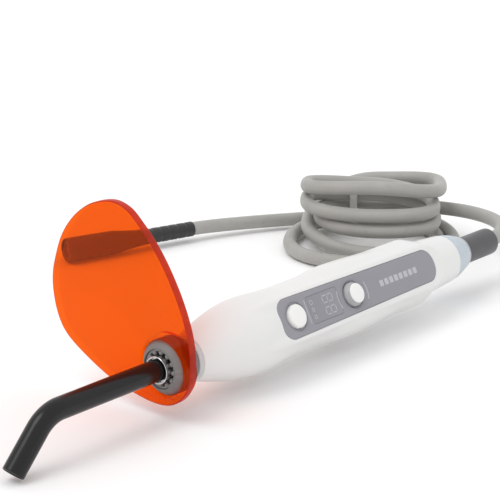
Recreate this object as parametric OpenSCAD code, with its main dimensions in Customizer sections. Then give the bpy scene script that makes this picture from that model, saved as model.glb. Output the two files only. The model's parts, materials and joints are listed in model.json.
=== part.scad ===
// Corded LED curing light: a wand handpiece with a bent light guide, a clear
// tinted eye shield, a button panel, and a coiled cable ending in an in-line
// DC socket. Millimetres. +Z is up, the handpiece axis is level and runs
// along +X from the nose to the tail, and the floor is z = 0. The guide's
// tip and the coiled cable touch the floor.

/* [Body] */
// radius of the shell's front edge
nose_r = 8.6; // [8.5:0.1:9.2]
// radius of the front bulge
bulge_r = 15; // [14.2:0.1:16]
// radius of the finger waist
waist_r = 13.3; // [13:0.1:14]
// radius of the palm bulge
palm_r = 15.2; // [14.2:0.1:16.5]
// radius of the shell's tail edge
tail_r = 10.2; // [10:0.1:11.2]
// wall thickness of the shell
wall = 1.8; // [1.5:0.1:2]
// angle above the horizontal at which the panel's face points
panel_roll = 28; // [20:1:40]
// how far the panel tips down towards the tail
panel_tilt = 0.9; // [0.6:0.1:1]

/* [Panel] */
// height of the panel's face above the axis
panel_h = 13.7; // [13.5:0.1:14.1]
// half width of the panel at its front end
panel_w_front = 7.9; // [7.4:0.1:8.2]
// half width of the panel at its rear end
panel_w_rear = 6.8; // [6.4:0.1:7.6]
// distance of the start button from the socket face
start_at = 58.5; // [57:0.5:59]
// distance of the mode button from the socket face
mode_at = 93; // [92:0.5:95]
// diameter of the start button
start_d = 9.2; // [9:0.2:10.4]
// diameter of the mode button
mode_d = 9.6; // [8.6:0.2:10.4]

/* [Light guide] */
// radius of the coated light guide
guide_r = 4; // [3.8:0.1:4]
// length of the straight part in front of the socket face
guide_straight = 48.8; // [40:0.2:60]
// centre-line radius of the bend
guide_bend_r = 14; // [10:0.5:20]
// angle of the bend
guide_bend = 47; // [40:1:60]
// length of the straight end beyond the bend
guide_end = 16.5; // [14:0.5:20]
// radius of the metal ferrule at the guide's root
ferrule_r = 5.1; // [5:0.1:5.2]

/* [Shield] */
// radius of the nose barrel that carries the shield
barrel_r = 10.4; // [10.2:0.1:10.5]
// thickness of the shield's plate
shield_t = 3; // [2.5:0.1:3.2]
// nominal half width of the shield
shield_w = 31.6; // [28:0.2:33]
// reach of the shield from the axis to its far end
shield_reach = 64.2; // [60:0.2:68]
// angle of the shield's long side above the horizontal
shield_turn = 45; // [40:1:50]

/* [Cable] */
// radius of the cable
cable_r = 3.2; // [3:0.1:3.25]
// radius of the strain relief sleeve
relief_r = 5.84; // [5.6:0.02:5.9]
// distance from the socket face to the sleeve's far end
relief_end = 205; // [200:1:208]

/* [Hidden] */
// Names ending in _at are distances along the axis from the socket face.
gap = 0.05;    // clearance of a fit
touch = 0.02;  // clearance between parts that rest on each other
shell_facets = 72;

// shell
nose_at = 12.6;
bulge_at = 43.4;
waist_at = 69.5;
palm_at = 96;
taper_at = 131.7;
tail_at = 169.2;
taper_r = tail_r + 2.9;
nose_bore_r = 7.25;
tail_bore_r = 8.4;
cavity_at = 24.2;
cavity_top = 11.2;

// panel, as heights above the axis unless named otherwise
panel_t = 1.2;
pocket_z = panel_h - panel_t;
panel_start = 49.4;
panel_end = 148.3;
tilt_at = 90;
indicator_slot = [66.6, 70.8];
display_slot = [72, 84.6];
window_x = [indicator_slot[0], display_slot[1]];
slot_w = 5.2;  // half width of both slots
boss_base = 9.9;
plunger_top = 10.6;
start_top = 15.3;
mode_top = 16.7;

// board
board_x = [45, 138];
board_top = 6.2;
board_under = board_top - 1.6;
parts_base = board_top + touch;
parts_under = board_under - touch;
board_screws_at = [49.5, 106, 134];

// screws that close the shell, as [distance, across]
mid_screw_at = 121;
shell_screw_spots = [[38, 0], [mid_screw_at, 0], [144.5, 6], [144.5, -6]];
screw_seat_z = -4;

// nose and optics
socket_bore_r = ferrule_r + gap;
collet_bore_r = 7.35;
collet_seat = 3.2;
optics_bore_r = 6.6;
optics_r = optics_bore_r - 0.1;
lens_seat = 10.2;
lens_rim = 11.6;
emitter_at = 14.6;
led_board_x = [15.6, 17.1];
wire_y = 4.2;

// the guide's tip touches the floor
tip_drop = guide_bend_r * (1 - cos(guide_bend)) + guide_end * sin(guide_bend);
axis_h = tip_drop + guide_r * cos(guide_bend);

// moves the socket face so that the origin lies under the middle of the whole object
origin_shift = [-93.066, -74.569, 0];

// ---------------------------------------------------------------- helpers

function span(half, centre = 0) = [centre - half, centre + half];
function grow(range, margin) = [range[0] - margin, range[1] + margin];
function middle(range) = (range[0] + range[1]) / 2;

// points on an arc with radii [x, y], between two angles
function arc(centre, radii, angles, steps) =
  [for (i = [0 : steps])
    let (angle = angles[0] + (angles[1] - angles[0]) * i / steps)
    centre + [radii[0] * cos(angle), radii[1] * sin(angle)]];

// level frame with its origin at the middle of the socket face
module level_frame() translate(origin_shift + [0, 0, axis_h]) children();

// the same frame rolled: x along the axis, y up across the panel, z outward
module axis_frame() level_frame() rotate([90 - panel_roll, 0, 0]) children();

// tips its children so that the panel follows the handle down to the tail
module tipped()
  translate([tilt_at, 0, panel_h]) rotate([0, panel_tilt, 0]) translate([-tilt_at, 0, -panel_h])
    children();

module panel_frame() axis_frame() tipped() children();

// solid turned about the x axis from [radius, distance] points
module turned(profile, facets = shell_facets)
  rotate([0, 90, 0]) rotate_extrude($fn = facets) polygon(profile);

// cylinder along the x axis
module bar(from, to, radius, facets = shell_facets)
  translate([from, 0, 0]) rotate([0, 90, 0]) cylinder(h = to - from, r = radius, $fn = facets);

module tube(from, to, outer, inner, facets = shell_facets)
  turned([[inner, from], [outer, from], [outer, to], [inner, to]], facets);

// cylinder along z over a z range
module post(x, y, z, radius, facets = 32)
  translate([x, y, z[0]]) cylinder(h = z[1] - z[0], r = radius, $fn = facets);

// box from its x, y and z ranges
module block(x, y, z)
  translate([x[0], y[0], z[0]]) cube([x[1] - x[0], y[1] - y[0], z[1] - z[0]]);

// cylinder between two points
module rod(from, to, radius) {
  run = to - from;
  length = norm(run);
  translate(from) rotate([0, acos(run[2] / length), atan2(run[1], run[0])])
    cylinder(h = length, r = radius, $fn = 16);
}

// ---------------------------------------------------------------- shell

// outer profile stations: distance, radius, slope
stations = [
  [nose_at, nose_r, 0.30],
  [bulge_at, bulge_r, 0],
  [waist_at, waist_r, 0],
  [palm_at, palm_r, 0],
  [taper_at, taper_r, -0.085],
  [tail_at, tail_r, -0.075]];

// cubic between two stations that keeps their radii and slopes
function hermite(from, to, t) =
  let (length = to[0] - from[0], t2 = t * t, t3 = t2 * t)
  from[1] * (2 * t3 - 3 * t2 + 1) + from[2] * length * (t3 - 2 * t2 + t)
  + to[1] * (3 * t2 - 2 * t3) + to[2] * length * (t3 - t2);

// outer radius at a distance, searched from station k on
function shell_r(at, k = 0) =
  let (from = stations[k], to = stations[k + 1])
  (k >= len(stations) - 2 || at <= to[0])
  ? hermite(from, to, (at - from[0]) / (to[0] - from[0]))
  : shell_r(at, k + 1);

outer_steps = 30;
outer_profile = [for (i = [0 : outer_steps])
  let (at = nose_at + (tail_at - nose_at) * i / outer_steps)
  [shell_r(at), at]];

cavity_end = tail_at + 0.5;
cavity_steps = 18;
cavity_profile = [for (i = [0 : cavity_steps])
  let (at = cavity_at + (cavity_end - cavity_at) * i / cavity_steps)
  [max(shell_r(min(at, tail_at)) - wall, tail_bore_r), at]];

module shell_outer() turned(concat([[0, nose_at]], outer_profile, [[0, tail_at]]));

module shell_cavity() intersection() {
  turned(concat([[0, cavity_at]], cavity_profile, [[0, cavity_end]]));
  block([cavity_at - 1, tail_at + 2], span(20), [-20, cavity_top]);
}

// hollow shell, with any children added outside, cut to a z range
module half_shell(z) difference() {
  intersection() {
    union() {
      shell_outer();
      children();
    }
    block([0, 200], span(20), z);
  }
  shell_cavity();
}

// nose and tail openings
module end_bores() {
  bar(nose_at - 1, cavity_at + 1, nose_bore_r);
  bar(tail_at - 6.2, tail_at + 1, tail_bore_r);
}

// sloped lip round the panel: its cross-section met with its side view
module lip() {
  base = 5;
  top = panel_h - 0.15;
  intersection() {
    rotate([90, 0, 90]) translate([0, 0, 40]) linear_extrude(height = 118)
      polygon([[-12.4, base], [-8.9, top], [8.9, top], [12.4, base]]);
    rotate([90, 0, 0]) translate([0, 0, -14]) linear_extrude(height = 28)
      polygon([[41, base], [41, 12.4], [panel_start - 1.2, top], [panel_end + 1.2, top],
        [157, 9], [157, base]]);
  }
}

// panel outline grown by a margin: a tapered bar with rounded corners
function panel_outline(margin) =
  let (corner_r = 5.5,
    front = panel_start + corner_r,
    side = panel_w_front - corner_r,
    rear_r = panel_w_rear + margin,
    front_r = corner_r + margin)
  concat(
    arc([panel_end - panel_w_rear, 0], [rear_r, rear_r], [-80, 80], 14),
    arc([front, side], [front_r, front_r], [92, 180], 6),
    arc([front, -side], [front_r, front_r], [180, 268], 6));

module panel_plate(margin, z)
  translate([0, 0, z[0]]) linear_extrude(height = z[1] - z[0]) polygon(panel_outline(margin));

// half on the panel's side
module shell_front() color([0.89, 0.89, 0.88]) axis_frame() difference() {
  union() {
    half_shell([touch, 20]) tipped() lip();
    for (spot = shell_screw_spots) post(spot[0], spot[1], [touch, cavity_top + 0.3], 3);
    tipped() for (at = board_screws_at) post(at, 0, [parts_base, cavity_top + 1], 2.2);
    tipped() for (at = [start_at, mode_at]) post(at, 0, [boss_base, cavity_top + 0.6], 7.1, 48);
  }
  end_bores();
  // pocket for the panel, button wells, window slots, board screw holes
  tipped() {
    panel_plate(0.1, [pocket_z, 20]);
    for (at = [start_at, mode_at]) {
      post(at, 0, [11, 20], 5.95, 48);
      post(at, 0, [boss_base - 1, 12], 2.2);
    }
    for (slot = [display_slot, indicator_slot]) block(slot, span(slot_w), [9.5, 20]);
    for (at = board_screws_at) post(at, 0, [4, 10], 0.8, 24);
  }
  // blind screw holes from the back
  for (spot = shell_screw_spots) post(spot[0], spot[1], [-1, 8], 1.05, 24);
}

// half away from the panel, with counterbored screw holes
module shell_back() color([0.87, 0.87, 0.86]) axis_frame() difference() {
  union() {
    half_shell([-20, -touch]);
    intersection() {
      shell_outer();
      for (spot = shell_screw_spots) post(spot[0], spot[1], [-16, -touch], 3.3);
    }
  }
  end_bores();
  for (spot = shell_screw_spots) {
    post(spot[0], spot[1], [-20, 1], 1.4, 24);
    post(spot[0], spot[1], [-20, screw_seat_z], 2.6);
  }
}

// screws with a hexagonal recess in the head
module shell_screws() color([0.7, 0.7, 0.72]) axis_frame()
  for (spot = shell_screw_spots) difference() {
    union() {
      post(spot[0], spot[1], [-5.6, screw_seat_z - touch], 2.3);
      post(spot[0], spot[1], [-4.2, 7.6], 1.03, 24);
    }
    post(spot[0], spot[1], [-6, -4.8], 1.1, 6);
  }

// ring between the nose barrel and the shell
module nose_ring() {
  inner = 7.3;
  outer = 8.45;
  front = 10.45;
  rear = nose_at - gap;
  color([0.55, 0.56, 0.57]) axis_frame() turned([
    [inner, front], [outer - 0.2, front], [outer, front + 0.25], [outer, rear], [inner, rear]]);
}

// ---------------------------------------------------------------- nose

// barrel with the guide socket, the optics chamber and the shield's seat
module nose_socket() {
  front = -1.8;
  spigot_r = 8.2;
  spigot_end = 10.4;
  rear = 24;
  web_front = 9.6;
  window_r = 4.2;
  color([0.47, 0.465, 0.465]) axis_frame() turned([
    [collet_bore_r, front], [7.9, front],
    [barrel_r - 0.2, 0.6], [barrel_r, 0.9], [barrel_r, 6.4], [barrel_r - 0.4, 6.8],
    [spigot_r, 6.8], [spigot_r, spigot_end], [nose_bore_r, spigot_end], [nose_bore_r, rear],
    [optics_bore_r, rear], [optics_bore_r, lens_seat],
    [window_r, lens_seat], [window_r, web_front],
    [socket_bore_r, web_front], [socket_bore_r, collet_seat], [collet_bore_r, collet_seat]]);
}

// snap ring: a band with inward beads and ribs that hold the ferrule
module spring_collet() {
  bead_count = 12;
  bead_at = -0.7;
  color([0.75, 0.75, 0.76]) axis_frame() difference() {
    union() {
      tube(-1.2, collet_seat - gap, collet_bore_r - gap, 6.45);
      for (i = [0 : bead_count - 1]) rotate([i * 360 / bead_count, 0, 0]) {
        translate([bead_at, 0, 6.15]) sphere(r = 0.95, $fn = 24);
        block([bead_at, 3.1], span(0.75), [5.7, 6.8]);
      }
    }
    bar(-3, 5, socket_bore_r + gap);
  }
}

oring_groove = [5.4, 6.2];

module guide_oring() color([0.1, 0.1, 0.1]) axis_frame() rotate([0, 90, 0])
  rotate_extrude($fn = 64)
    translate([ferrule_r - 0.32, middle(oring_groove)]) circle(r = 0.33, $fn = 20);

module guide_ferrule() {
  inner = guide_r + 0.01;
  front = -1.2;
  neck_r = ferrule_r - 0.4;
  neck_at = -3.25;
  groove_r = ferrule_r - 0.67;
  rear = 9;
  color([0.8, 0.8, 0.82]) axis_frame() turned([
    [inner, front], [neck_r, front], [neck_r, neck_at], [ferrule_r - 0.1, neck_at],
    [ferrule_r, -3.1], [ferrule_r, oring_groove[0]],
    [groove_r, oring_groove[0]], [groove_r, oring_groove[1]],
    [ferrule_r, oring_groove[1]], [ferrule_r, 8.6],
    [neck_r, rear], [inner, rear]]);
}

module bend_centre() translate([-guide_straight, 0, -guide_bend_r]) children();

// frame at the far end of the bend, with x back along the guide
module bend_end()
  bend_centre() rotate([0, -guide_bend, 0]) translate([0, 0, guide_bend_r]) children();

// the guide's path: straight, bend, straight, downwards at the end;
// a short plug joins the bend to the end
module guide_shape(radius, root_end, plug_r) level_frame() {
  bend_end() bar(-0.5, 0.5, plug_r, 64);
  bar(-guide_straight, root_end, radius, 64);
  bend_centre() rotate([90, 0, 0]) rotate([0, 0, 90])
    rotate_extrude(angle = guide_bend, $fn = 128)
      translate([guide_bend_r, 0]) circle(r = radius, $fn = 64);
  bend_end() bar(-guide_end, 0, radius, 64);
}

core_r = guide_r - 0.5;

module guide_jacket() color([0.13, 0.13, 0.14]) difference() {
  guide_shape(guide_r, root_end = 9, plug_r = guide_r - 0.02);
  guide_shape(core_r, root_end = 9.5, plug_r = core_r + 0.03);
  level_frame() bar(8.9, 10, 6);
}

module guide_core() color([0.75, 0.8, 0.85, 0.6])
  guide_shape(core_r - 0.01, root_end = 9.2, plug_r = core_r - 0.03);

// ---------------------------------------------------------------- shield

// outline stations in the shield's plane: towards the far end, across;
// a little fuller on the negative side
shield_stations = [
  [-13.5, 0.2], [-12, 6.9], [-7.3, 13.3], [0.6, 19.5], [11.5, 24.5], [24, 27.9],
  [34.5, shield_w - 2.4], [42.4, shield_w - 2.5], [50.4, shield_w - 3.6], [57, 23.6],
  [61.9, 15.3], [shield_reach - 0.3, 7.4], [shield_reach, 0], [shield_reach - 1.1, -7.2],
  [60.2, -14.6], [55.6, -22.6], [49.5, -shield_w + 3.3], [42, -shield_w - 0.7],
  [34.5, -shield_w - 1.6], [24, -30.6], [11.5, -25.7], [0.6, -19], [-7.3, -12.7], [-12, -6.5]];

// Catmull-Rom curve between the middle two of four points
function catmull_rom(p0, p1, p2, p3, t) =
  0.5 * (2 * p1 + (p2 - p0) * t + (2 * p0 - 5 * p1 + 4 * p2 - p3) * t * t
  + (3 * p1 - p0 - 3 * p2 + p3) * pow(t, 3));

function shield_station(i) = shield_stations[i % len(shield_stations)];

// closed curve with three points to each station; the last station precedes the first
shield_outline = [for (i = [0 : len(shield_stations) - 1]) for (j = [0 : 2])
  catmull_rom(shield_station(i + len(shield_stations) - 1), shield_station(i),
    shield_station(i + 1), shield_station(i + 2), j / 3)];

// plate whose normal is the axis, on a hub round the barrel
module light_shield() color([0.93, 0.36, 0.09, 0.6]) difference() {
  union() {
    level_frame() rotate([shield_turn, 0, 0]) rotate([90, 0, 90])
      translate([0, 0, -0.8]) linear_extrude(height = shield_t) polygon(shield_outline);
    axis_frame() tube(1, 5, 12.2, barrel_r + gap);
  }
  axis_frame() bar(-5, 20, barrel_r + gap);
}

// ---------------------------------------------------------------- optics

// disc with a domed rear face
module collimating_lens() color([0.8, 0.9, 0.95, 0.5]) axis_frame() turned(concat(
  [[0, lens_seat + gap], [optics_r, lens_seat + gap], [optics_r, lens_rim]],
  arc([0, lens_rim], [4.6, 1.6], [0, 90], 8)), 48);

module lens_retainer() color([0.2, 0.2, 0.22]) axis_frame()
  tube(lens_rim + gap, 15.1, optics_bore_r - gap, 4.9, 48);

// square base with a dome towards the lens
module led_emitter() {
  dome_r = 1.9;
  color([0.85, 0.85, 0.7]) axis_frame() union() {
    block([emitter_at, led_board_x[0] - gap], span(2.2), span(2.2));
    turned(arc([0, emitter_at + 0.01], [dome_r, -1.2], [0, 90], 8), 32);
    turned([[0, emitter_at], [dome_r, emitter_at],
      [dome_r, emitter_at + 0.1], [0, emitter_at + 0.1]], 32);
  }
}

// pair of holes for the wires
module wire_holes(from, to, radius, facets)
  for (side = [-1, 1]) translate([0, side * wire_y, 0]) bar(from, to, radius, facets);

module led_board() color([0.85, 0.87, 0.86]) axis_frame() difference() {
  bar(led_board_x[0], led_board_x[1], optics_r, 48);
  wire_holes(15, 19, 0.75, 16);
}

// disc with a finned stem behind it
module heat_sink() {
  fin_pitch = 2.3;
  color([0.76, 0.77, 0.78]) axis_frame() difference() {
    union() {
      bar(led_board_x[1] + gap, 24.05, optics_r, 48);
      bar(24, 34, 3.4, 48);
      for (i = [0 : 3]) bar(25.4 + i * fin_pitch, 26.4 + i * fin_pitch, 6.9, 48);
    }
    wire_holes(17, 37, 0.95, 20);
  }
}

module led_wires() {
  wire_r = 0.6;
  color([0.75, 0.12, 0.1]) axis_frame() for (side = [-1, 1]) {
    corner = [41, side * wire_y, 0];
    union() {
      rod([16.2, side * wire_y, 0], corner, wire_r);
      translate(corner) sphere(r = wire_r, $fn = 16);
      rod(corner, [44.5, side * 1.5, 2.9], wire_r);
    }
  }
}

// ---------------------------------------------------------------- panel

module control_panel() color([0.6, 0.595, 0.62]) panel_frame() difference() {
  union() {
    panel_plate(0, [pocket_z, panel_h - 0.35]);
    panel_plate(-0.35, [panel_h - 0.5, panel_h]);
  }
  // button holes, each in a shallow recess: distance, button diameter, recess margin
  for (hole = [[start_at, start_d, 1.1], [mode_at, mode_d, 0.9]]) {
    post(hole[0], 0, [12, 15], hole[1] / 2 + 0.3, 64);
    post(hole[0], 0, [panel_h - 0.45, 15], hole[1] / 2 + hole[2], 64);
  }
  // window recess and the slots beneath it
  block(grow(window_x, 0.2), span(slot_w + 0.2), [panel_h - 0.65, 15]);
  for (slot = [indicator_slot, display_slot])
    block(grow(slot, -0.4), span(slot_w - 0.4), [12, 15]);
}

module display_window() color([0.45, 0.45, 0.48, 0.7]) panel_frame()
  block(grow(window_x, 0.15), span(slot_w + 0.15), [panel_h - 0.6, panel_h - touch]);

display_top = 12.5;

module display_module() color([0.75, 0.75, 0.76]) panel_frame()
  block(grow(display_slot, -0.7), span(4.6), [parts_base, display_top]);

// one digit: seven bars in the usual figure-of-eight, its height along the axis
module digit(y) {
  centre = middle(display_slot);
  bar_length = 3;
  half_w = 1.35;
  half_bar = 0.25;
  inset = 0.32;
  z = [display_top + touch, 12.75];
  for (k = [-1, 0, 1])
    block(span(half_bar, centre + k * bar_length), span(half_w - inset, y), z);
  for (side = [-1, 1]) for (j = [0, 1])
    block(grow([centre - bar_length * j, centre - bar_length * (j - 1)], -inset),
      span(half_bar, y + side * half_w), z);
}

module display_digits() color([0.85, 0.3, 0.25]) panel_frame() {
  digit(-2.3);
  digit(2.3);
}

// three lamps in a row across the panel
module indicator_leds() {
  at = middle(indicator_slot);
  color([0.9, 0.75, 0.3]) panel_frame() for (y = [-3.2, 0, 3.2]) union() {
    block(span(0.8, at), span(0.6, y), [parts_base, 7]);
    post(at, y, [6.9, 12.8], 0.55, 20);
  }
}

// domed cap over a flange that is held under the panel
module button(at, diameter, top, taper) {
  cap_r = diameter / 2;
  edge_r = 0.6;
  stem_r = 2;
  stem_base = plunger_top + 0.03;
  flange_r = 5.7;
  flange = [pocket_z - 0.95, pocket_z - gap];
  panel_frame() translate([at, 0, 0]) rotate_extrude($fn = 64) polygon(concat(
    [[0, stem_base], [stem_r, stem_base], [stem_r, flange[0]], [flange_r, flange[0]],
      [flange_r, flange[1]], [cap_r, flange[1]], [cap_r, panel_h + 0.4]],
    arc([cap_r - taper - edge_r, top - 0.7], [edge_r, 0.45], [0, 90], 4),
    [[cap_r * 0.5, top - 0.1], [0, top]]));
}

module start_button() color([0.94, 0.94, 0.93])
  button(start_at, start_d, start_top, taper = 0.3);
module mode_button() color([0.94, 0.94, 0.93])
  button(mode_at, mode_d, mode_top, taper = 0.9);

plunger_r = 1.7;

module plunger(at) panel_frame() post(at, 0, [8.8, plunger_top], plunger_r, 24);
module start_plunger() color([0.15, 0.15, 0.16]) plunger(start_at);
module mode_plunger() color([0.15, 0.15, 0.16]) plunger(mode_at);

// square tactile switch with a well for its plunger
module tact_switch(at) panel_frame() difference() {
  block(span(3, at), span(3), [parts_base, boss_base - 0.25]);
  post(at, 0, [8.1, 12], plunger_r + 0.06, 24);
}
module start_switch() color([0.3, 0.3, 0.32]) tact_switch(start_at);
module mode_switch() color([0.3, 0.3, 0.32]) tact_switch(mode_at);

// ---------------------------------------------------------------- board

module main_board() color([0.1, 0.4, 0.22]) panel_frame() difference() {
  block(board_x, span(8), [board_under, board_top]);
  for (at = board_screws_at) post(at, 0, [0, 10], 1.1, 24);
  // clears the shell's screw post
  post(mid_screw_at, 0, [0, 10], 3.3);
}

// slotted screws from below
module board_screws() color([0.8, 0.75, 0.45]) panel_frame()
  for (at = board_screws_at) difference() {
    union() {
      post(at, 0, [board_under - 1.2, parts_under], 1.9, 24);
      post(at, 0, [board_under - 0.3, 9.6], 0.78, 20);
    }
    block(span(2, at), span(0.25), [3, board_under - 0.7]);
  }

module controller_chip() {
  lead_pitch = 1.1;
  color([0.12, 0.12, 0.13]) panel_frame() union() {
    block([84.5, 91.5], span(3.5), [3, board_under - 0.15]);
    for (i = [0 : 5])
      block([85 + i * lead_pitch, 85.5 + i * lead_pitch], span(4.6), [4.3, parts_under]);
  }
}

module power_coil() {
  at = 97.5;
  color([0.25, 0.2, 0.18]) panel_frame() difference() {
    post(at, 0, [0.6, parts_under], 4, 48);
    post(at, 0, [0, 2], 1.5, 24);
  }
}

module buzzer() {
  at = 112.5;
  color([0.1, 0.1, 0.1]) panel_frame() difference() {
    post(at, 0, [0.2, parts_under], 4.5, 48);
    post(at, 0, [-1, 1.4], 0.9, 20);
  }
}

// one under each end of the board
module board_connectors() color([0.93, 0.92, 0.86]) panel_frame()
  for (x = [[board_x[0] + 0.3, 47.2], [136, board_x[1] - 0.1]])
    block(x, span(2.6), [1.6, parts_under]);

module supply_wires() color([0.1, 0.1, 0.12]) axis_frame() for (side = [-1, 1])
  rod([147.5, side * 1.2, 0.2], [138.1, side * 1.4, 2.4], 0.55);

// ---------------------------------------------------------------- tail

cap_face = tail_at + gap;
cap_length = 11.1;
cap_end = cap_face + cap_length;

// domed cap on a spigot inside the shell's tail
module tail_cap() {
  front = 163.2;
  spigot_r = tail_bore_r - 0.1;
  lip_r = 6.4;
  lip_end = 165.6;
  inner_r = 7;
  exit_r = relief_r + gap;
  color([0.78, 0.82, 0.85, 0.7]) axis_frame() turned(concat(
    [[lip_r, front], [spigot_r, front], [spigot_r, cap_face]],
    [for (i = [0 : 8]) let (t = i / 8)
      [tail_r - 0.15 - 2.6 * pow(t, 1.5), cap_face + cap_length * t]],
    [[exit_r, cap_end], [exit_r, tail_at + 9.6],
      [inner_r, tail_at + 4], [inner_r, lip_end], [lip_r, lip_end]]), 64);
}

module tail_rim() {
  inner = relief_r + 0.1;
  front = cap_end + gap;
  rear = tail_at + 12.4;
  color([0.62, 0.64, 0.66]) axis_frame()
    turned([[inner, front], [7.35, front], [7.1, rear], [inner, rear]], 64);
}

// sleeve with a narrow front end, a flange and a rounded far end
module strain_relief() {
  inner = cable_r + 0.03;
  front = 158;
  neck_r = 4.6;
  flange_r = 6.9;
  flange = [166, 167.6];
  round_r = 1.6;
  color([0.3, 0.29, 0.3]) axis_frame() turned(concat(
    [[inner, front], [neck_r, front], [neck_r, 161.5], [relief_r, 163],
      [relief_r, flange[0]], [flange_r, flange[0]], [flange_r, flange[1]],
      [relief_r, flange[1]]],
    arc([relief_r - round_r, relief_end - round_r], [round_r, round_r], [0, 90], 4),
    [[inner, relief_end]]), 64);
}

// ring round the cable on a flat foot
module cable_clamp() {
  x = [150.5, 153];
  ring_r = 4.6;
  bore_r = cable_r + touch;
  color([0.2, 0.2, 0.2]) axis_frame() difference() {
    union() {
      tube(x[0], x[1], ring_r, bore_r, 48);
      block(x, span(6.5), [-ring_r, -3]);
    }
    bar(149, 156, bore_r, 48);
  }
}

// ---------------------------------------------------------------- cable

// The path's x and y are measured from the socket face, its z from the floor.
coil_angle = 36.3;
coil_centre = [216.6, 72.6, 0];
coil_wide = [cos(coil_angle), sin(coil_angle), 0];
coil_long = [sin(coil_angle), -cos(coil_angle), 0];

// reach along coil_long at alternate ends, one for each half turn
coil_ends = [32.5, -24.9, 29.1, -31, 28.5, -30.9, 31.6, -30.9, 31.3, -38.5, 38.6, -30];
// reach along coil_wide at alternate sides, where each half turn starts and stops
coil_sides = [24.1, -15.5, 17.3, -15.5, 12.2, -11.4, 35.2, -24.3, 27.1, -39.9, 34.8];
// height at each quarter turn; the later ones lie on the floor
coil_heights = [12.65, 14.9, 11.15, 13.4, 20.1, 21.85, 18.65, 20.1, 26.7, 28.95, 31, 26.45,
  23.55, 9];
// two strands ride over the tie's lower side
tie_lift = 2.2;
lifted_quarters = [16, 20];

half_turns = 10;
quarter_steps = 9;
lead_steps = 16;
plug_at = [166, 141.65, 5.75];
plug_dir = [-0.9586, 0.2846, 0];

function ease(t) = t * t * (3 - 2 * t);
function quarter_height(i) =
  i < len(coil_heights) ? coil_heights[i]
  : (i == lifted_quarters[0] || i == lifted_quarters[1]) ? cable_r + tie_lift
  : cable_r;
// height a fraction t of the way through quarter turn i
function height_in(i, t) =
  quarter_height(i) + (quarter_height(i + 1) - quarter_height(i)) * ease(t);

// superellipse exponent of a half turn: the first ones are squarer
function squareness(k) = k < 6 ? 3.2 : 2.3;
function quarter_arc(t, power) =
  let (x = cos(90 * t), y = sin(90 * t), scale = pow(pow(x, power) + pow(y, power), -1 / power))
  [scale * x, scale * y];

// point on half turn k, a fraction t through its first (half = 0) or second quarter
function coil_at(k, half, t) =
  let (end_mid = (coil_ends[k + half] + coil_ends[k + half + 1]) / 2,
    end_reach = (coil_ends[k + half + 1] - coil_ends[k + half]) / 2,
    side_mid = (coil_sides[k] + coil_sides[k + 1]) / 2,
    side_reach = (coil_sides[k + 1] - coil_sides[k]) / 2,
    bow = quarter_arc(t, squareness(k)),
    long = half == 0 ? end_reach * bow[1] : -end_reach * bow[0],
    wide = half == 0 ? -side_reach * bow[0] : side_reach * bow[1])
  coil_centre + coil_long * (end_mid + long) + coil_wide * (side_mid + wide)
  + [0, 0, height_in(2 * k + half, t)];

function bezier(p0, p1, p2, p3, t) =
  p0 * pow(1 - t, 3) + p1 * 3 * t * pow(1 - t, 2) + p2 * 3 * t * t * (1 - t) + p3 * pow(t, 3);

coil_start = coil_at(0, 0, 0);
coil_stop = coil_at(half_turns - 1, 1, 1);
lead_start = [relief_end, 0, axis_h];

cable_path = concat(
  [for (x = [149, 170, relief_end - 4]) [x, 0, axis_h]],
  [for (i = [0 : lead_steps - 1])
    bezier(lead_start, lead_start + [35, 0, 0],
      coil_start + coil_long * 43.1 + [0, 0, 2], coil_start, i / lead_steps)],
  [for (k = [0 : half_turns - 1]) for (half = [0, 1]) for (i = [0 : quarter_steps - 1])
    coil_at(k, half, i / quarter_steps)],
  [for (i = [0 : lead_steps - 1])
    bezier(coil_stop, coil_stop - coil_long * 40 - [0, 0, 3],
      plug_at - plug_dir * 15, plug_at, i / lead_steps)],
  [plug_at, plug_at + plug_dir * 31]);

function unit(v) = v / norm(v);
function tangent(path, i) = unit(path[min(i + 1, len(path) - 1)] - path[max(i - 1, 0)]);
// circle of points square to the path at point i
function ring(path, i, radius, sides) =
  let (ahead = tangent(path, i), level = unit(cross([0, 0, 1], ahead)), up = cross(ahead, level))
  [for (j = [0 : sides - 1])
    path[i] + (level * cos(360 * j / sides) + up * sin(360 * j / sides)) * radius];

module sweep(path, radius, sides) {
  last = len(path) - 1;
  polyhedron(
    points = [for (i = [0 : last]) each ring(path, i, radius, sides)],
    faces = concat(
      [[for (j = [0 : sides - 1]) j]],
      [for (i = [0 : last - 1]) for (j = [0 : sides - 1])
        [i * sides + j, (i + 1) * sides + j, (i + 1) * sides + (j + 1) % sides]],
      [for (i = [0 : last - 1]) for (j = [0 : sides - 1])
        [i * sides + j, (i + 1) * sides + (j + 1) % sides, i * sides + (j + 1) % sides]],
      [[for (j = [sides - 1 : -1 : 0]) last * sides + j]]));
}

module cable() color([0.66, 0.66, 0.64]) translate(origin_shift) sweep(cable_path, cable_r, 12);

// band round strands on the coil's +coil_wide side
tie_long = -9.4;  // its place along coil_long
tie_w = 3.6;
tie_t = 0.8;
tie_inner_r = cable_r + 0.9;

// where the first quarter of half turn k crosses the tie: reach along coil_wide, height
function tie_hit(k) =
  let (from = coil_ends[k], to = coil_ends[k + 1], power = squareness(k),
    x = (tie_long - (from + to) / 2) * 2 / (to - from),
    y = pow(1 - pow(x, power), 1 / power),
    side_mid = (coil_sides[k] + coil_sides[k + 1]) / 2,
    side_reach = (coil_sides[k + 1] - coil_sides[k]) / 2)
  [side_mid - side_reach * y, height_in(2 * k, atan2(x, y) / 90)];

tie_corners = [tie_hit(2), tie_hit(8), [coil_sides[10], quarter_height(20)]];

// direction of the outward normal of the edge between two corners
function normal_angle(from, to) = atan2(from[0] - to[0], to[1] - from[1]);

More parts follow.
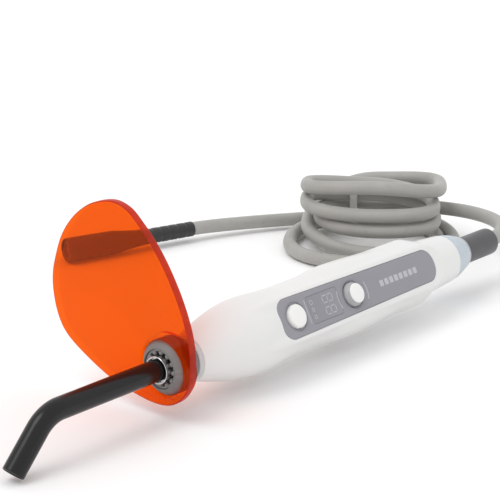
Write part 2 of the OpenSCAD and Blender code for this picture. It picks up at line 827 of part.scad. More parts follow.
// outline that wraps circles on the corners
function wrap(corners, radius) =
  let (count = len(corners))
  [for (i = [0 : count - 1])
    let (before = normal_angle(corners[(i + count - 1) % count], corners[i]),
      after = normal_angle(corners[i], corners[(i + 1) % count]),
      stop = after < before ? after + 360 : after)
    each arc(corners[i], [radius, radius], [before, stop], 5)];

module cable_tie() {
  corner = coil_centre + coil_long * (tie_long - tie_w / 2);
  color([0.92, 0.92, 0.9, 0.8]) translate(origin_shift)
    multmatrix([
      [coil_wide[0], 0, coil_long[0], corner[0]],
      [coil_wide[1], 0, coil_long[1], corner[1]],
      [0, 1, 0, 0],
      [0, 0, 0, 1]])
    linear_extrude(height = tie_w) difference() {
      polygon(wrap(tie_corners, tie_inner_r + tie_t));
      polygon(wrap(tie_corners, tie_inner_r));
    }
}

// ---------------------------------------------------------------- plug

plug_body_at = 41;  // from the sleeve's cable end
plug_rim_at = 63.3;
plug_core_r = 4.55;
plug_bore_r = 3.25;

// x runs from the cable to the open end
module plug_frame() translate(origin_shift + plug_at)
  rotate([0, 0, atan2(plug_dir[1], plug_dir[0])]) children();

// ribbed sleeve that flares to meet the body
module plug_sleeve() {
  inner = cable_r + 0.02;
  rear = plug_body_at - gap;
  rib_pitch = 4.5;
  rib = [[3.55, 0.5], [3.55, 3.4], [3.42, 3.8], [3.42, rib_pitch]];
  color([0.12, 0.12, 0.12]) plug_frame() turned(concat(
    [[inner, 0], [3.42, 0]],
    [for (i = [0 : 4]) for (point = rib) point + i * [0.02, rib_pitch]],
    [[3.6, 23.5], [3.95, 30], [4.6, 36], [5.3, rear], [inner, rear]]), 48);
}

module plug_body() {
  inner = plug_core_r + gap;
  color([0.12, 0.12, 0.12]) plug_frame() turned([
    [inner, plug_body_at], [5.35, plug_body_at], [5.5, 41.5], [5.7, 60],
    [5.7, plug_rim_at], [inner, plug_rim_at]], 48);
}

// core with a rim at the open end, bored for the contact and the pin
module plug_insulator() {
  front = plug_body_at + gap;
  rim = plug_rim_at + gap;
  color([0.1, 0.1, 0.11]) plug_frame() difference() {
    turned([[0, front], [plug_core_r, front], [plug_core_r, rim], [5.6, rim],
      [5.6, 66.2], [5.2, 66.6], [0, 66.6]], 48);
    bar(55, 70, plug_bore_r, 48);
    bar(48, 56, 1.28, 24);
  }
}

module plug_contact() color([0.78, 0.76, 0.7]) plug_frame()
  tube(55.3, 65, plug_bore_r - gap, 2.95, 48);

module plug_pin() color([0.82, 0.74, 0.5]) plug_frame() turned([
  [0, 48.2], [1.25, 48.2], [1.25, 55], [1.05, 55], [1.05, 64], [0.6, 64.6], [0, 64.6]], 32);

// ---------------------------------------------------------------- nodes

shell_front();
shell_back();
shell_screws();
nose_ring();
nose_socket();
spring_collet();
guide_oring();
guide_ferrule();
guide_jacket();
guide_core();
light_shield();
collimating_lens();
lens_retainer();
led_emitter();
led_board();
heat_sink();
led_wires();
control_panel();
display_window();
display_module();
display_digits();
indicator_leds();
start_button();
mode_button();
start_plunger();
mode_plunger();
start_switch();
mode_switch();
main_board();
board_screws();
controller_chip();
power_coil();
buzzer();
board_connectors();
supply_wires();
tail_cap();
tail_rim();
strain_relief();
cable_clamp();
cable();
cable_tie();
plug_sleeve();
plug_body();
plug_insulator();
plug_contact();
plug_pin();
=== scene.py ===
import json
import math
import bmesh
import bpy
import numpy as np
from mathutils import Matrix, Vector


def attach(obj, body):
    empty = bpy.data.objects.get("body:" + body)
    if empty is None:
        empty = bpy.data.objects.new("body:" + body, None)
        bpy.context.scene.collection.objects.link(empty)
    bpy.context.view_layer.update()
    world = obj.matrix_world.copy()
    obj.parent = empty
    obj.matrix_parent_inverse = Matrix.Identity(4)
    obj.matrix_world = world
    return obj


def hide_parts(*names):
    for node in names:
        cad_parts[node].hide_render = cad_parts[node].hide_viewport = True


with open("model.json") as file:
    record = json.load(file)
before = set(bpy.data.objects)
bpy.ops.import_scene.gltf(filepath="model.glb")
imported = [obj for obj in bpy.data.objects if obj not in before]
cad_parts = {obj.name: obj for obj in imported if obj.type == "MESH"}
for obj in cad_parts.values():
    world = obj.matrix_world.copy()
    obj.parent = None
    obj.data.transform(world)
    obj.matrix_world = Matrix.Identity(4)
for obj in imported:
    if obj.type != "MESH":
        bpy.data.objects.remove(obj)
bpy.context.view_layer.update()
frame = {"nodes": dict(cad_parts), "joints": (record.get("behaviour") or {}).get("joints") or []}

# ------------------------------------------------------------------ frames
JOINT = {j["name"]: j for j in frame["joints"]}
A = Vector(JOINT["shield_turn"]["pos_m"])            # socket face centre, on the axis
AXH = A.z * 1000.0                                   # axis height, mm
ROLL = math.radians(28.0)
TILT = math.radians(0.9)
PH = 13.7                                            # panel face height above the axis
EX = Vector((1, 0, 0))
EE = Vector((0, math.sin(ROLL), math.cos(ROLL)))     # up across the panel
EN = Vector((0, -math.cos(ROLL), math.sin(ROLL)))    # outward from the panel


def basis(x, y, z, o):
    return Matrix(((x[0], y[0], z[0], o[0]), (x[1], y[1], z[1], o[1]), (x[2], y[2], z[2], o[2]), (0, 0, 0, 1)))


MM = Matrix.Scale(0.001, 4)
PF = basis(EX, EE, EN, A) @ MM                       # s, q, h in mm
LF = Matrix.Translation(A) @ MM                      # level: x, y, z in mm from the socket face
_tip = Matrix.Translation((90, 0, PH)) @ Matrix.Rotation(TILT, 4, "Y") @ Matrix.Translation((-90, 0, -PH))
TF = PF @ _tip                                       # frame of the tipped panel
OX, OY = -A.x * 1000.0, -A.y * 1000.0
WF = Matrix.Translation((A.x, A.y, 0)) @ MM          # floor frame, mm, x and y from the socket face
SF = Matrix.Translation(A) @ Matrix.Rotation(math.radians(45), 4, "X") @ basis((0, 1, 0), (0, 0, 1), (1, 0, 0), (0, 0, 0)) @ MM


# ------------------------------------------------------------------ profile
ST = [(12.6, 8.6, 0.30), (43.4, 15.0, 0.0), (69.5, 13.3, 0.0), (96.0, 15.2, 0.0), (131.7, 13.1, -0.085), (169.2, 10.2, -0.075)]


def r_at(s):
    k = 0
    while k < len(ST) - 2 and s > ST[k + 1][0]:
        k += 1
    a, b = ST[k], ST[k + 1]
    L = b[0] - a[0]
    t = (s - a[0]) / L
    return (a[1] * (2 * t**3 - 3 * t**2 + 1) + a[2] * L * (t**3 - 2 * t**2 + t)
            + b[1] * (3 * t**2 - 2 * t**3) + b[2] * L * (t**3 - t**2))


# ------------------------------------------------------------------ mesh help
def link(name, me):
    o = bpy.data.objects.new(name, me)
    bpy.context.scene.collection.objects.link(o)
    return o


def build(name, verts, faces, frame_m, smooth=True, angle=32.0):
    me = bpy.data.meshes.new(name)
    me.from_pydata([tuple(frame_m @ Vector(v)) for v in verts], [], faces)
    me.validate()
    fix_normals(me)
    shade(me, smooth, angle)
    return link(name, me)


def fix_normals(me):
    bm = bmesh.new()
    bm.from_mesh(me)
    bmesh.ops.remove_doubles(bm, verts=bm.verts, dist=1e-7)
    bmesh.ops.recalc_face_normals(bm, faces=bm.faces)
    bm.to_mesh(me)
    bm.free()
    me.update()


def shade(me, smooth=True, angle=32.0):
    me.polygons.foreach_set("use_smooth", [smooth] * len(me.polygons))
    if smooth:
        me.set_sharp_from_angle(angle=math.radians(angle))
    me.update()


def finalize(o, angle=32.0):
    """bakes modifiers into the mesh"""
    dg = bpy.context.evaluated_depsgraph_get()
    me = bpy.data.meshes.new_from_object(o.evaluated_get(dg))
    o.modifiers.clear()
    o.data = me
    shade(me, True, angle)
    return o


def rounded(pts, rad, seg=4):
    """rounds a closed 2-D profile's corners; rad is one number or one per point"""
    out = []
    n = len(pts)
    for i in range(n):
        r = rad[i] if isinstance(rad, (list, tuple)) else rad
        p, a, b = Vector(pts[i]), Vector(pts[i - 1]), Vector(pts[(i + 1) % n])
        u, w = (a - p), (b - p)
        lu, lw = u.length, w.length
        if r <= 0 or lu < 1e-6 or lw < 1e-6:
            out.append(tuple(p))
            continue
        u, w = u / lu, w / lw
        c = max(-1, min(1, u.dot(w)))
        half = math.acos(c) / 2
        if half > math.radians(86) or half < math.radians(3):
            out.append(tuple(p))
            continue
        d = min(r / math.tan(half), lu * 0.48, lw * 0.48)
        rr = d * math.tan(half)
        cen = p + (u + w).normalized() * (rr / math.sin(half))
        p0, p1 = p + u * d, p + w * d
        a0 = math.atan2(p0.y - cen.y, p0.x - cen.x)
        a1 = math.atan2(p1.y - cen.y, p1.x - cen.x)
        da = (a1 - a0 + math.pi) % (2 * math.pi) - math.pi
        for k in range(seg + 1):
            t = a0 + da * k / seg
            out.append((cen.x + rr * math.cos(t), cen.y + rr * math.sin(t)))
    return out


def lathe(name, pts, fm=PF, n=96, angle=32.0, closed=True):
    """pts: (r, s) profile; turned about the s axis (frame x)"""
    verts, rows = [], []
    for r, s in pts:
        if r < 1e-6:
            rows.append([len(verts)])
            verts.append((s, 0, 0))
        else:
            rows.append(list(range(len(verts), len(verts) + n)))
            for j in range(n):
                a = 2 * math.pi * j / n
                verts.append((s, r * math.cos(a), r * math.sin(a)))
    faces = []
    m = len(rows)
    for i in range(m if closed else m - 1):
        a, b = rows[i], rows[(i + 1) % m]
        if len(a) == 1 and len(b) == 1:
            continue
        for j in range(n):
            k = (j + 1) % n
            if len(a) == 1:
                faces.append((a[0], b[k], b[j]))
            elif len(b) == 1:
                faces.append((a[j], a[k], b[0]))
            else:
                faces.append((a[j], a[k], b[k], b[j]))
    return build(name, verts, faces, fm, True, angle)


def offset_ring(ring, d):
    """insets a closed smooth outline by d along its normals"""
    n = len(ring)
    out = []
    area = sum(ring[i][0] * ring[(i + 1) % n][1] - ring[(i + 1) % n][0] * ring[i][1] for i in range(n))
    sg = 1 if area > 0 else -1
    for i in range(n):
        a, b = Vector(ring[i - 1]), Vector(ring[(i + 1) % n])
        t = (b - a).normalized()
        nr = Vector((-t.y, t.x)) * sg
        out.append((ring[i][0] + nr.x * d, ring[i][1] + nr.y * d))
    return out


def slab(name, ring, z0, z1, edge, fm, seg=3, bottom_edge=None, angle=32.0, cap=True):
    """a plate with rounded rims: ring is the outline, edge the rim radius"""
    be = edge if bottom_edge is None else bottom_edge
    layers = []
    if be > 0:
        for k in range(seg + 1):
            t = math.pi / 2 * k / seg
            layers.append((be * (1 - math.sin(t)), z0 + be * (1 - math.cos(t))))
    else:
        layers.append((0, z0))
    if edge > 0:
        for k in range(seg + 1):
            t = math.pi / 2 * k / seg
            layers.append((edge * (1 - math.cos(t)), z1 - edge + edge * math.sin(t)))
    else:
        layers.append((0, z1))
    verts, faces = [], []
    n = len(ring)
    for d, z in layers:
        rr = offset_ring(ring, d) if d > 1e-9 else ring
        verts += [(p[0], p[1], z) for p in rr]
    for i in range(len(layers) - 1):
        for j in range(n):
            k = (j + 1) % n
            faces.append((i * n + j, i * n + k, (i + 1) * n + k, (i + 1) * n + j))
    faces.append(tuple(range(n - 1, -1, -1)))
    faces.append(tuple((len(layers) - 1) * n + j for j in range(n)))
    return build(name, verts, faces, fm, True, angle)


def arc2(cx, cy, r, a0, a1, n):
    return [(cx + r * math.cos(math.radians(a0 + (a1 - a0) * i / n)), cy + r * math.sin(math.radians(a0 + (a1 - a0) * i / n))) for i in range(n + 1)]


def rrect(x0, x1, y0, y1, r, n=6):
    return (arc2(x1 - r, y1 - r, r, 0, 90, n) + arc2(x0 + r, y1 - r, r, 90, 180, n)
            + arc2(x0 + r, y0 + r, r, 180, 270, n) + arc2(x1 - r, y0 + r, r, 270, 360, n))


def circle(cx, cy, r, n=64):
    return [(cx + r * math.cos(2 * math.pi * i / n), cy + r * math.sin(2 * math.pi * i / n)) for i in range(n)]


def sweep(name, path, r, n, fm, caps=True, prof=None, angle=40.0):
    """tube along a list of points, with frames carried along it; r may be a list"""
    P = [Vector(p) for p in path]
    m = len(P)
    T = []
    for i in range(m):
        T.append((P[min(i + 1, m - 1)] - P[max(i - 1, 0)]).normalized())
    nrm = Vector((0, 0, 1)).cross(T[0])
    if nrm.length < 1e-3:
        nrm = Vector((0, 1, 0)).cross(T[0])
    nrm.normalize()
    verts, faces = [], []
    for i in range(m):
        nrm = (nrm - T[i] * nrm.dot(T[i])).normalized()
        b = T[i].cross(nrm)
        ri = r[i] if isinstance(r, (list, tuple)) else r
        for j in range(n):
            a = 2 * math.pi * j / n
            k = ri * (prof(a) if prof else 1.0)
            verts.append(tuple(P[i] + nrm * (k * math.cos(a)) + b * (k * math.sin(a))))
    for i in range(m - 1):
        for j in range(n):
            k = (j + 1) % n
            faces.append((i * n + j, i * n + k, (i + 1) * n + k, (i + 1) * n + j))
    if caps:
        faces.append(tuple(range(n - 1, -1, -1)))
        faces.append(tuple((m - 1) * n + j for j in range(n)))
    return build(name, verts, faces, fm, True, angle)


def boolean(o, cutters, op="DIFFERENCE"):
    for c in cutters:
        md = o.modifiers.new("b", "BOOLEAN")
        md.object = c
        md.operation = op
        md.solver = "EXACT"
    dg = bpy.context.evaluated_depsgraph_get()
    me = bpy.data.meshes.new_from_object(o.evaluated_get(dg))
    o.modifiers.clear()
    o.data = me
    for c in cutters:
        bpy.data.objects.remove(c, do_unlink=True)
    return o


def join(name, objs):
    """merges meshes into the first one without operators"""
    bm = bmesh.new()
    for o in objs:
        bm.from_mesh(o.data)
    me = bpy.data.meshes.new(name)
    bm.to_mesh(me)
    bm.free()
    for o in objs:
        bpy.data.objects.remove(o, do_unlink=True)
    return link(name, me)


# ------------------------------------------------------------------ materials
def srgb(r, g, b):
    f = lambda c: (c / 255.0) / 12.92 if c <= 10 else ((c / 255.0 + 0.055) / 1.055) ** 2.4
    return (f(r), f(g), f(b), 1.0)


class Mat:
    def __init__(self, name):
        self.m = bpy.data.materials.new(name)
        self.m.use_nodes = True
        self.t = self.m.node_tree
        self.t.nodes.clear()
        self.out = self.t.nodes.new("ShaderNodeOutputMaterial")
        self.tc = self.t.nodes.new("ShaderNodeTexCoord")

    def n(self, kind, **kw):
        o = self.t.nodes.new(kind)
        for k, v in kw.items():
            if k.startswith("in_"):
                key = k[3:]
                key = int(key) if key.isdigit() else key.replace("_", " ")
                o.inputs[key].default_value = v
            else:
                setattr(o, k, v)
        return o

    def l(self, a, b):
        self.t.links.new(a, b)

    def noise(self, scale, detail=3.0, rough=0.5, vec=None):
        x = self.n("ShaderNodeTexNoise", in_Scale=scale, in_Detail=detail, in_Roughness=rough)
        self.l(vec or self.tc.outputs["Object"], x.inputs["Vector"])
        return x.outputs["Fac"]

    def ramp(self, fac, lo, hi, a, b):
        x = self.n("ShaderNodeMapRange", clamp=True)
        self.l(fac, x.inputs["Value"])
        x.inputs["From Min"].default_value = lo
        x.inputs["From Max"].default_value = hi
        x.inputs["To Min"].default_value = a
        x.inputs["To Max"].default_value = b
        return x.outputs["Result"]

    def mix(self, fac, a, b):
        x = self.n("ShaderNodeMix", data_type="RGBA")
        if isinstance(fac, float):
            x.inputs[0].default_value = fac
        else:
            self.l(fac, x.inputs[0])
        for s, v in ((6, a), (7, b)):
            if isinstance(v, tuple):
                x.inputs[s].default_value = v
            else:
                self.l(v, x.inputs[s])
        return x.outputs[2]

    def math(self, op, a, b=None):
        x = self.n("ShaderNodeMath", operation=op)
        for i, v in enumerate((a, b)):
            if v is None:
                continue
            if isinstance(v, (int, float)):
                x.inputs[i].default_value = v
            else:
                self.l(v, x.inputs[i])
        return x.outputs[0]

    def bump(self, height, strength, dist):
        x = self.n("ShaderNodeBump", in_Strength=strength, in_Distance=dist)
        self.l(height, x.inputs["Height"])
        return x.outputs["Normal"]

    def principled(self, **kw):
        p = self.n("ShaderNodeBsdfPrincipled")
        for k, v in kw.items():
            key = k.replace("_", " ")
            if isinstance(v, (int, float, tuple)):
                p.inputs[key].default_value = v
            else:
                self.l(v, p.inputs[key])
        return p

    def done(self, shader):
        self.l(shader.outputs[0], self.out.inputs["Surface"])
        return self.m


def dirt(m, amount, scale=60.0):
    """soft, sparse smudges"""
    a = m.noise(scale, 5.0, 0.62)
    return m.ramp(a, 0.46, 0.72, 0.0, amount)


def plastic(name, col, rough=0.3, grain=900.0, bump=0.06, vary=0.03, coat=0.0, smudge=0.10, sss=0.0, dark=None, edge=0.0, spec=0.5):
    m = Mat(name)
    big = m.noise(22.0, 4.0, 0.55)
    fine = m.noise(grain, 3.0, 0.6)
    dk = dark or tuple(c * (1 - 3 * vary) for c in col[:3]) + (1.0,)
    c = m.mix(m.ramp(big, 0.3, 0.7, 0.0, 1.0), col, dk)
    c = m.mix(m.ramp(fine, 0.35, 0.75, 0.0, vary * 4), c, dk)
    # edge > 0 paints convex rims lighter by pointiness: a painted highlight along the edges
    if edge > 0:
        g = m.n("ShaderNodeNewGeometry")
        c = m.mix(m.ramp(g.outputs["Pointiness"], 0.52, 0.62, 0.0, edge), c, tuple(min(1, x * 1.4 + 0.04) for x in col[:3]) + (1.0,))
    r = m.math("ADD", m.ramp(m.noise(75.0, 5.0, 0.6), 0.4, 0.75, rough, rough + smudge), m.math("MULTIPLY", fine, 0.05))
    kw = dict(Base_Color=c, Roughness=r, Normal=m.bump(fine, bump, 0.0001))
    if coat:
        kw["Coat_Weight"] = coat
        kw["Coat_Roughness"] = 0.08
    p = m.principled(**kw)
    p.inputs["Specular IOR Level"].default_value = spec
    if sss:
        p.inputs["Subsurface Weight"].default_value = sss
        p.inputs["Subsurface Radius"].default_value = (0.002, 0.002, 0.0018)
        p.inputs["Subsurface Scale"].default_value = 1.0
    return m.done(p)


def metal(name, col, rough=0.28, lathe_axis=True, scale=2600.0, bump=0.12, scratch=0.2):
    """turned or brushed metal: fine rings about the axis, and scattered scratches"""
    m = Mat(name)
    sep = m.n("ShaderNodeSeparateXYZ")
    vm = m.n("ShaderNodeVectorMath", operation="SUBTRACT")
    m.l(m.tc.outputs["Object"], vm.inputs[0])
    vm.inputs[1].default_value = (A.x, A.y, A.z)
    m.l(vm.outputs[0], sep.inputs[0])
    rad = m.math("SQRT", m.math("ADD", m.math("MULTIPLY", sep.outputs[1], sep.outputs[1]), m.math("MULTIPLY", sep.outputs[2], sep.outputs[2])))
    comb = m.n("ShaderNodeCombineXYZ")
    m.l(rad, comb.inputs[0])
    m.l(sep.outputs[0], comb.inputs[1])
    rings = m.noise(scale, 2.0, 0.5, comb.outputs[0]) if lathe_axis else m.noise(scale, 2.0, 0.5)
    sm = dirt(m, 1.0, 90.0)
    c = m.mix(m.ramp(rings, 0.3, 0.7, 0.0, 0.35), col, tuple(x * 0.72 for x in col[:3]) + (1.0,))
    c = m.mix(m.math("MULTIPLY", sm, 0.25), c, tuple(x * 0.6 for x in col[:3]) + (1.0,))
    r = m.math("ADD", m.ramp(rings, 0.2, 0.8, rough * 0.8, rough * 1.25), m.math("MULTIPLY", sm, scratch))
    p = m.principled(Base_Color=c, Roughness=r, Metallic=1.0, Normal=m.bump(rings, bump, 0.00005))
    return m.done(p)


def clear(name, tint, density=0.9, rough=0.03, body=(1, 1, 1, 1), body_amt=0.1, spec=0.6, smudge=0.05):
    """clear moulded plastic seen without heavy bending: tinted see-through, skin shine, and a little body colour"""
    m = Mat(name)
    lw = m.n("ShaderNodeLayerWeight", in_Blend=0.35)
    tr = m.n("ShaderNodeBsdfTransparent")
    wob = m.noise(35.0, 3.0, 0.5)
    m.l(m.mix(m.ramp(wob, 0.3, 0.7, 0.0, 0.18), tint, tuple(x * density for x in tint[:3]) + (1.0,)), tr.inputs["Color"])
    r = m.math("ADD", dirt(m, smudge, 110.0), rough)
    pb = m.principled(Base_Color=body, Roughness=r, Normal=m.bump(m.noise(160.0, 3.0, 0.5), 0.02, 0.0002))
    pb.inputs["Specular IOR Level"].default_value = spec
    mx = m.n("ShaderNodeMixShader")
    fac = m.ramp(lw.outputs["Facing"], 0.0, 1.0, body_amt, min(1.0, body_amt + 0.35))
    m.l(fac, mx.inputs[0])
    m.l(tr.outputs[0], mx.inputs[1])
    m.l(pb.outputs[0], mx.inputs[2])
    gl = m.n("ShaderNodeBsdfGlossy")
    gl.inputs["Color"].default_value = (1, 1, 1, 1)
    m.l(r, gl.inputs["Roughness"])
    fr = m.n("ShaderNodeFresnel", in_IOR=1.49)
    mx2 = m.n("ShaderNodeMixShader")
    m.l(m.math("MULTIPLY", fr.outputs[0], 0.9), mx2.inputs[0])
    m.l(mx.outputs[0], mx2.inputs[1])
    m.l(gl.outputs[0], mx2.inputs[2])
    return m.done(mx2)


def fibre_face():
    """polished end of a fibre rod: dark and fine-grained, with a weak even shine at every angle"""
    m = Mat("guide_glass")
    g = m.noise(2400.0, 4.0, 0.6)
    col = m.mix(m.ramp(g, 0.3, 0.7, 0.0, 1.0), (0.028, 0.027, 0.026, 1), (0.046, 0.045, 0.042, 1))
    pb = m.principled(Base_Color=col, Roughness=0.5, Normal=m.bump(g, 0.02, 0.0002))
    pb.inputs["Specular IOR Level"].default_value = 0.0
    gl = m.n("ShaderNodeBsdfGlossy")
    gl.inputs["Color"].default_value = (1, 1, 1, 1)
    m.l(m.math("ADD", dirt(m, 0.1, 110.0), 0.12), gl.inputs["Roughness"])
    mx = m.n("ShaderNodeMixShader")
    mx.inputs[0].default_value = 0.03
    m.l(pb.outputs[0], mx.inputs[1])
    m.l(gl.outputs[0], mx.inputs[2])
    return m.done(mx)


def assign(o, mat):
    if not o.data.materials:
        o.data.materials.append(mat)
    else:
        for i in range(len(o.data.materials)):
            o.data.materials[i] = mat
    return o


def node_mat(node, mat):
    o = frame["nodes"][node]
    if not o.data.materials:
        o.data.materials.append(mat)
    for i in range(len(o.data.materials)):
        o.data.materials[i] = mat


def put(o, body, mat=None, rep=()):
    if mat is not None:
        assign(o, mat)
    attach(o, body)
    if rep:
        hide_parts(*rep)
    return o


M = {}
M["shell"] = plastic("shell_white", srgb(227, 227, 226), rough=0.26, grain=1400, bump=0.03, vary=0.010, coat=0.15, smudge=0.12, sss=0.06)
M["shell_rear"] = plastic("shell_white_rear", srgb(226, 226, 225), rough=0.28, grain=1400, bump=0.03, vary=0.010, coat=0.15, smudge=0.12, sss=0.06)
# panel and barrel pass edge= for a painted highlight on their rims
M["panel"] = plastic("panel_grey", srgb(145, 144, 151), rough=0.38, grain=2600, bump=0.10, vary=0.02, smudge=0.14, edge=0.25)
M["button"] = plastic("button_white", srgb(236, 236, 234), rough=0.3, grain=1800, bump=0.03, vary=0.008, coat=0.15, smudge=0.08, sss=0.08)
M["ring"] = plastic("ring_grey", srgb(198, 199, 200), rough=0.4, grain=1500, bump=0.08, vary=0.03)
M["barrel"] = plastic("barrel_grey", srgb(118, 116, 116), rough=0.42, grain=2600, bump=0.10, vary=0.03, smudge=0.12, edge=0.2)
# darker grey copy of the button white: painted shade for the mode button's side wall
M["button_side"] = plastic("button_side_grey", srgb(172, 172, 174), rough=0.34, grain=1800, bump=0.03, vary=0.01)
M["snap"] = plastic("snap_grey", srgb(128, 124, 122), rough=0.28, grain=1500, bump=0.05, vary=0.03, coat=0.2)
M["ferrule"] = metal("ferrule_chrome", srgb(226, 226, 228), rough=0.12, scale=2400, bump=0.04)
M["rubber"] = plastic("oring_black", srgb(38, 38, 38), rough=0.5, grain=1500, bump=0.1, vary=0.03)
M["jacket"] = plastic("guide_coat_black", srgb(20, 20, 22), rough=0.17, grain=2000, bump=0.02, vary=0.03, smudge=0.10, spec=0.34)
M["core"] = fibre_face()
M["lens"] = clear("lens_glass", (0.95, 0.97, 0.98, 1), 0.97, 0.02, (0.8, 0.85, 0.9, 1), 0.08)
M["black"] = plastic("black_moulded", srgb(40, 40, 42), rough=0.42, grain=1700, bump=0.12, vary=0.04)
M["emitter"] = plastic("emitter_resin", srgb(235, 214, 120), rough=0.12, grain=1500, bump=0.02, vary=0.04, coat=0.5)
M["star"] = plastic("star_board_white", srgb(226, 230, 228), rough=0.35, grain=1300, bump=0.05, vary=0.03)
M["sink"] = metal("heat_sink_alu", srgb(205, 206, 208), rough=0.35, scale=1800, bump=0.12)
M["wire"] = plastic("wire_red", srgb(170, 30, 24), rough=0.38, grain=1500, bump=0.05, vary=0.04)
M["wire_k"] = plastic("wire_black", srgb(30, 30, 32), rough=0.38, grain=1500, bump=0.05, vary=0.04)
M["case"] = plastic("display_case", srgb(145, 144, 151), rough=0.45, grain=1800, bump=0.06, vary=0.03)
M["digit"] = plastic("digit_bar", srgb(205, 203, 208), rough=0.35, grain=1800, bump=0.02, vary=0.02)
M["led"] = plastic("indicator_resin", srgb(206, 200, 180), rough=0.18, grain=1800, bump=0.02, vary=0.02, coat=0.4)
M["chip"] = plastic("chip_black", srgb(34, 34, 36), rough=0.5, grain=2200, bump=0.12, vary=0.04)
M["ferrite"] = plastic("ferrite_grey", srgb(60, 56, 54), rough=0.7, grain=1600, bump=0.2, vary=0.06)
M["conn"] = plastic("connector_ivory", srgb(226, 220, 200), rough=0.4, grain=1700, bump=0.05, vary=0.03)
M["steel"] = metal("screw_steel", srgb(200, 200, 204), rough=0.25, lathe_axis=False, scale=1800, bump=0.08)
M["rim"] = plastic("tail_rim_grey", srgb(168, 174, 180), rough=0.35, grain=1500, bump=0.05, vary=0.03)
M["contact"] = metal("contact_plated", srgb(206, 196, 170), rough=0.22, lathe_axis=False, scale=1700, bump=0.05)


def board_mat():
    m = Mat("board_green")
    br = m.n("ShaderNodeTexBrick", in_Scale=420.0)
    m.l(m.tc.outputs["Object"], br.inputs["Vector"])
    br.inputs["Color1"].default_value = srgb(20, 92, 52)
    br.inputs["Color2"].default_value = srgb(16, 80, 46)
    br.inputs["Mortar"].default_value = srgb(60, 130, 84)
    br.inputs["Mortar Size"].default_value = 0.03
    p = m.principled(Base_Color=br.outputs["Color"], Roughness=m.ramp(m.noise(300.0), 0.3, 0.7, 0.25, 0.4), Normal=m.bump(br.outputs["Fac"], 0.2, 0.0001))
    return m.done(p)


M["board"] = board_mat()


def shield_mats():
    """orange sheet: the faces are clear and saturated, the rim and collar carry more colour"""
    face = Mat("shield_orange")
    tr = face.n("ShaderNodeBsdfTransparent")
    wob = face.noise(18.0, 3.0, 0.5)
    face.l(face.mix(face.ramp(wob, 0.35, 0.65, 0.0, 0.25), (0.965, 0.335, 0.030, 1), (0.955, 0.325, 0.026, 1)), tr.inputs["Color"])
    r = face.math("ADD", dirt(face, 0.10, 70.0), 0.05)
    pb = face.principled(Base_Color=(0.75, 0.10, 0.004, 1), Roughness=r, Normal=face.bump(face.noise(120.0, 3.0, 0.5), 0.02, 0.0003))
    mx = face.n("ShaderNodeMixShader", in_Fac=0.075)
    face.l(tr.outputs[0], mx.inputs[1])
    face.l(pb.outputs[0], mx.inputs[2])
    gl = face.n("ShaderNodeBsdfGlossy")
    face.l(r, gl.inputs["Roughness"])
    fr = face.n("ShaderNodeFresnel", in_IOR=1.42)
    mx2 = face.n("ShaderNodeMixShader")
    face.l(face.math("MULTIPLY", fr.outputs[0], 0.18), mx2.inputs[0])
    face.l(mx.outputs[0], mx2.inputs[1])
    face.l(gl.outputs[0], mx2.inputs[2])
    face.done(mx2)

    rim = Mat("shield_rim_red")
    tr = rim.n("ShaderNodeBsdfTransparent")
    tr.inputs["Color"].default_value = (0.72, 0.10, 0.02, 1)
    n1 = rim.noise(240.0, 3.0, 0.6)
    c = rim.mix(rim.ramp(n1, 0.3, 0.7, 0.0, 1.0), (0.40, 0.020, 0.008, 1), (0.54, 0.036, 0.010, 1))
    pb = rim.principled(Base_Color=c, Roughness=0.3, Normal=rim.bump(n1, 0.08, 0.0002))
    pb.inputs["Specular IOR Level"].default_value = 0.25
    mx = rim.n("ShaderNodeMixShader", in_Fac=0.70)
    rim.l(tr.outputs[0], mx.inputs[1])
    rim.l(pb.outputs[0], mx.inputs[2])
    # seen from inside the sheet the far rim all but vanishes
    back = rim.n("ShaderNodeBsdfTransparent")
    back.inputs["Color"].default_value = (0.965, 0.36, 0.035, 1)
    geo = rim.n("ShaderNodeNewGeometry")
    mx2 = rim.n("ShaderNodeMixShader")
    rim.l(geo.outputs["Backfacing"], mx2.inputs[0])
    rim.l(mx.outputs[0], mx2.inputs[1])
    rim.l(back.outputs[0], mx2.inputs[2])
    rim.done(mx2)
    return face.m, rim.m


M["shield"], M["shield_rim"] = shield_mats()


def cable_mat():
    m = Mat("cable_grey")
    n1 = m.noise(38.0, 5.0, 0.6)
    n2 = m.noise(1800.0, 3.0, 0.6)
    c = m.mix(m.ramp(n1, 0.32, 0.7, 0.0, 1.0), srgb(167, 166, 162), srgb(153, 152, 147))
    c = m.mix(m.ramp(m.noise(210.0, 4.0, 0.6), 0.6, 0.75, 0.0, 0.4), c, srgb(140, 139, 134))
    p = m.principled(Base_Color=c, Roughness=m.ramp(n2, 0.3, 0.7, 0.44, 0.58), Normal=m.bump(n2, 0.10, 0.0001))
    p.inputs["Sheen Weight"].default_value = 0.12
    return m.done(p)


def sleeve_mat(name, col):
    m = Mat(name)
    n1 = m.noise(1500.0, 3.0, 0.6)
    n2 = m.noise(55.0, 4.0, 0.55)
    c = m.mix(m.ramp(n2, 0.3, 0.7, 0.0, 1.0), col, tuple(x * 0.72 for x in col[:3]) + (1.0,))
    p = m.principled(Base_Color=c, Roughness=m.ramp(n2, 0.3, 0.7, 0.34, 0.5), Normal=m.bump(n1, 0.16, 0.0001))
    p.inputs["Sheen Weight"].default_value = 0.1
    return m.done(p)


M["cable"] = cable_mat()
M["sleeve"] = sleeve_mat("sleeve_charcoal", srgb(78, 76, 79))
M["plug"] = sleeve_mat("plug_black", srgb(38, 38, 39))


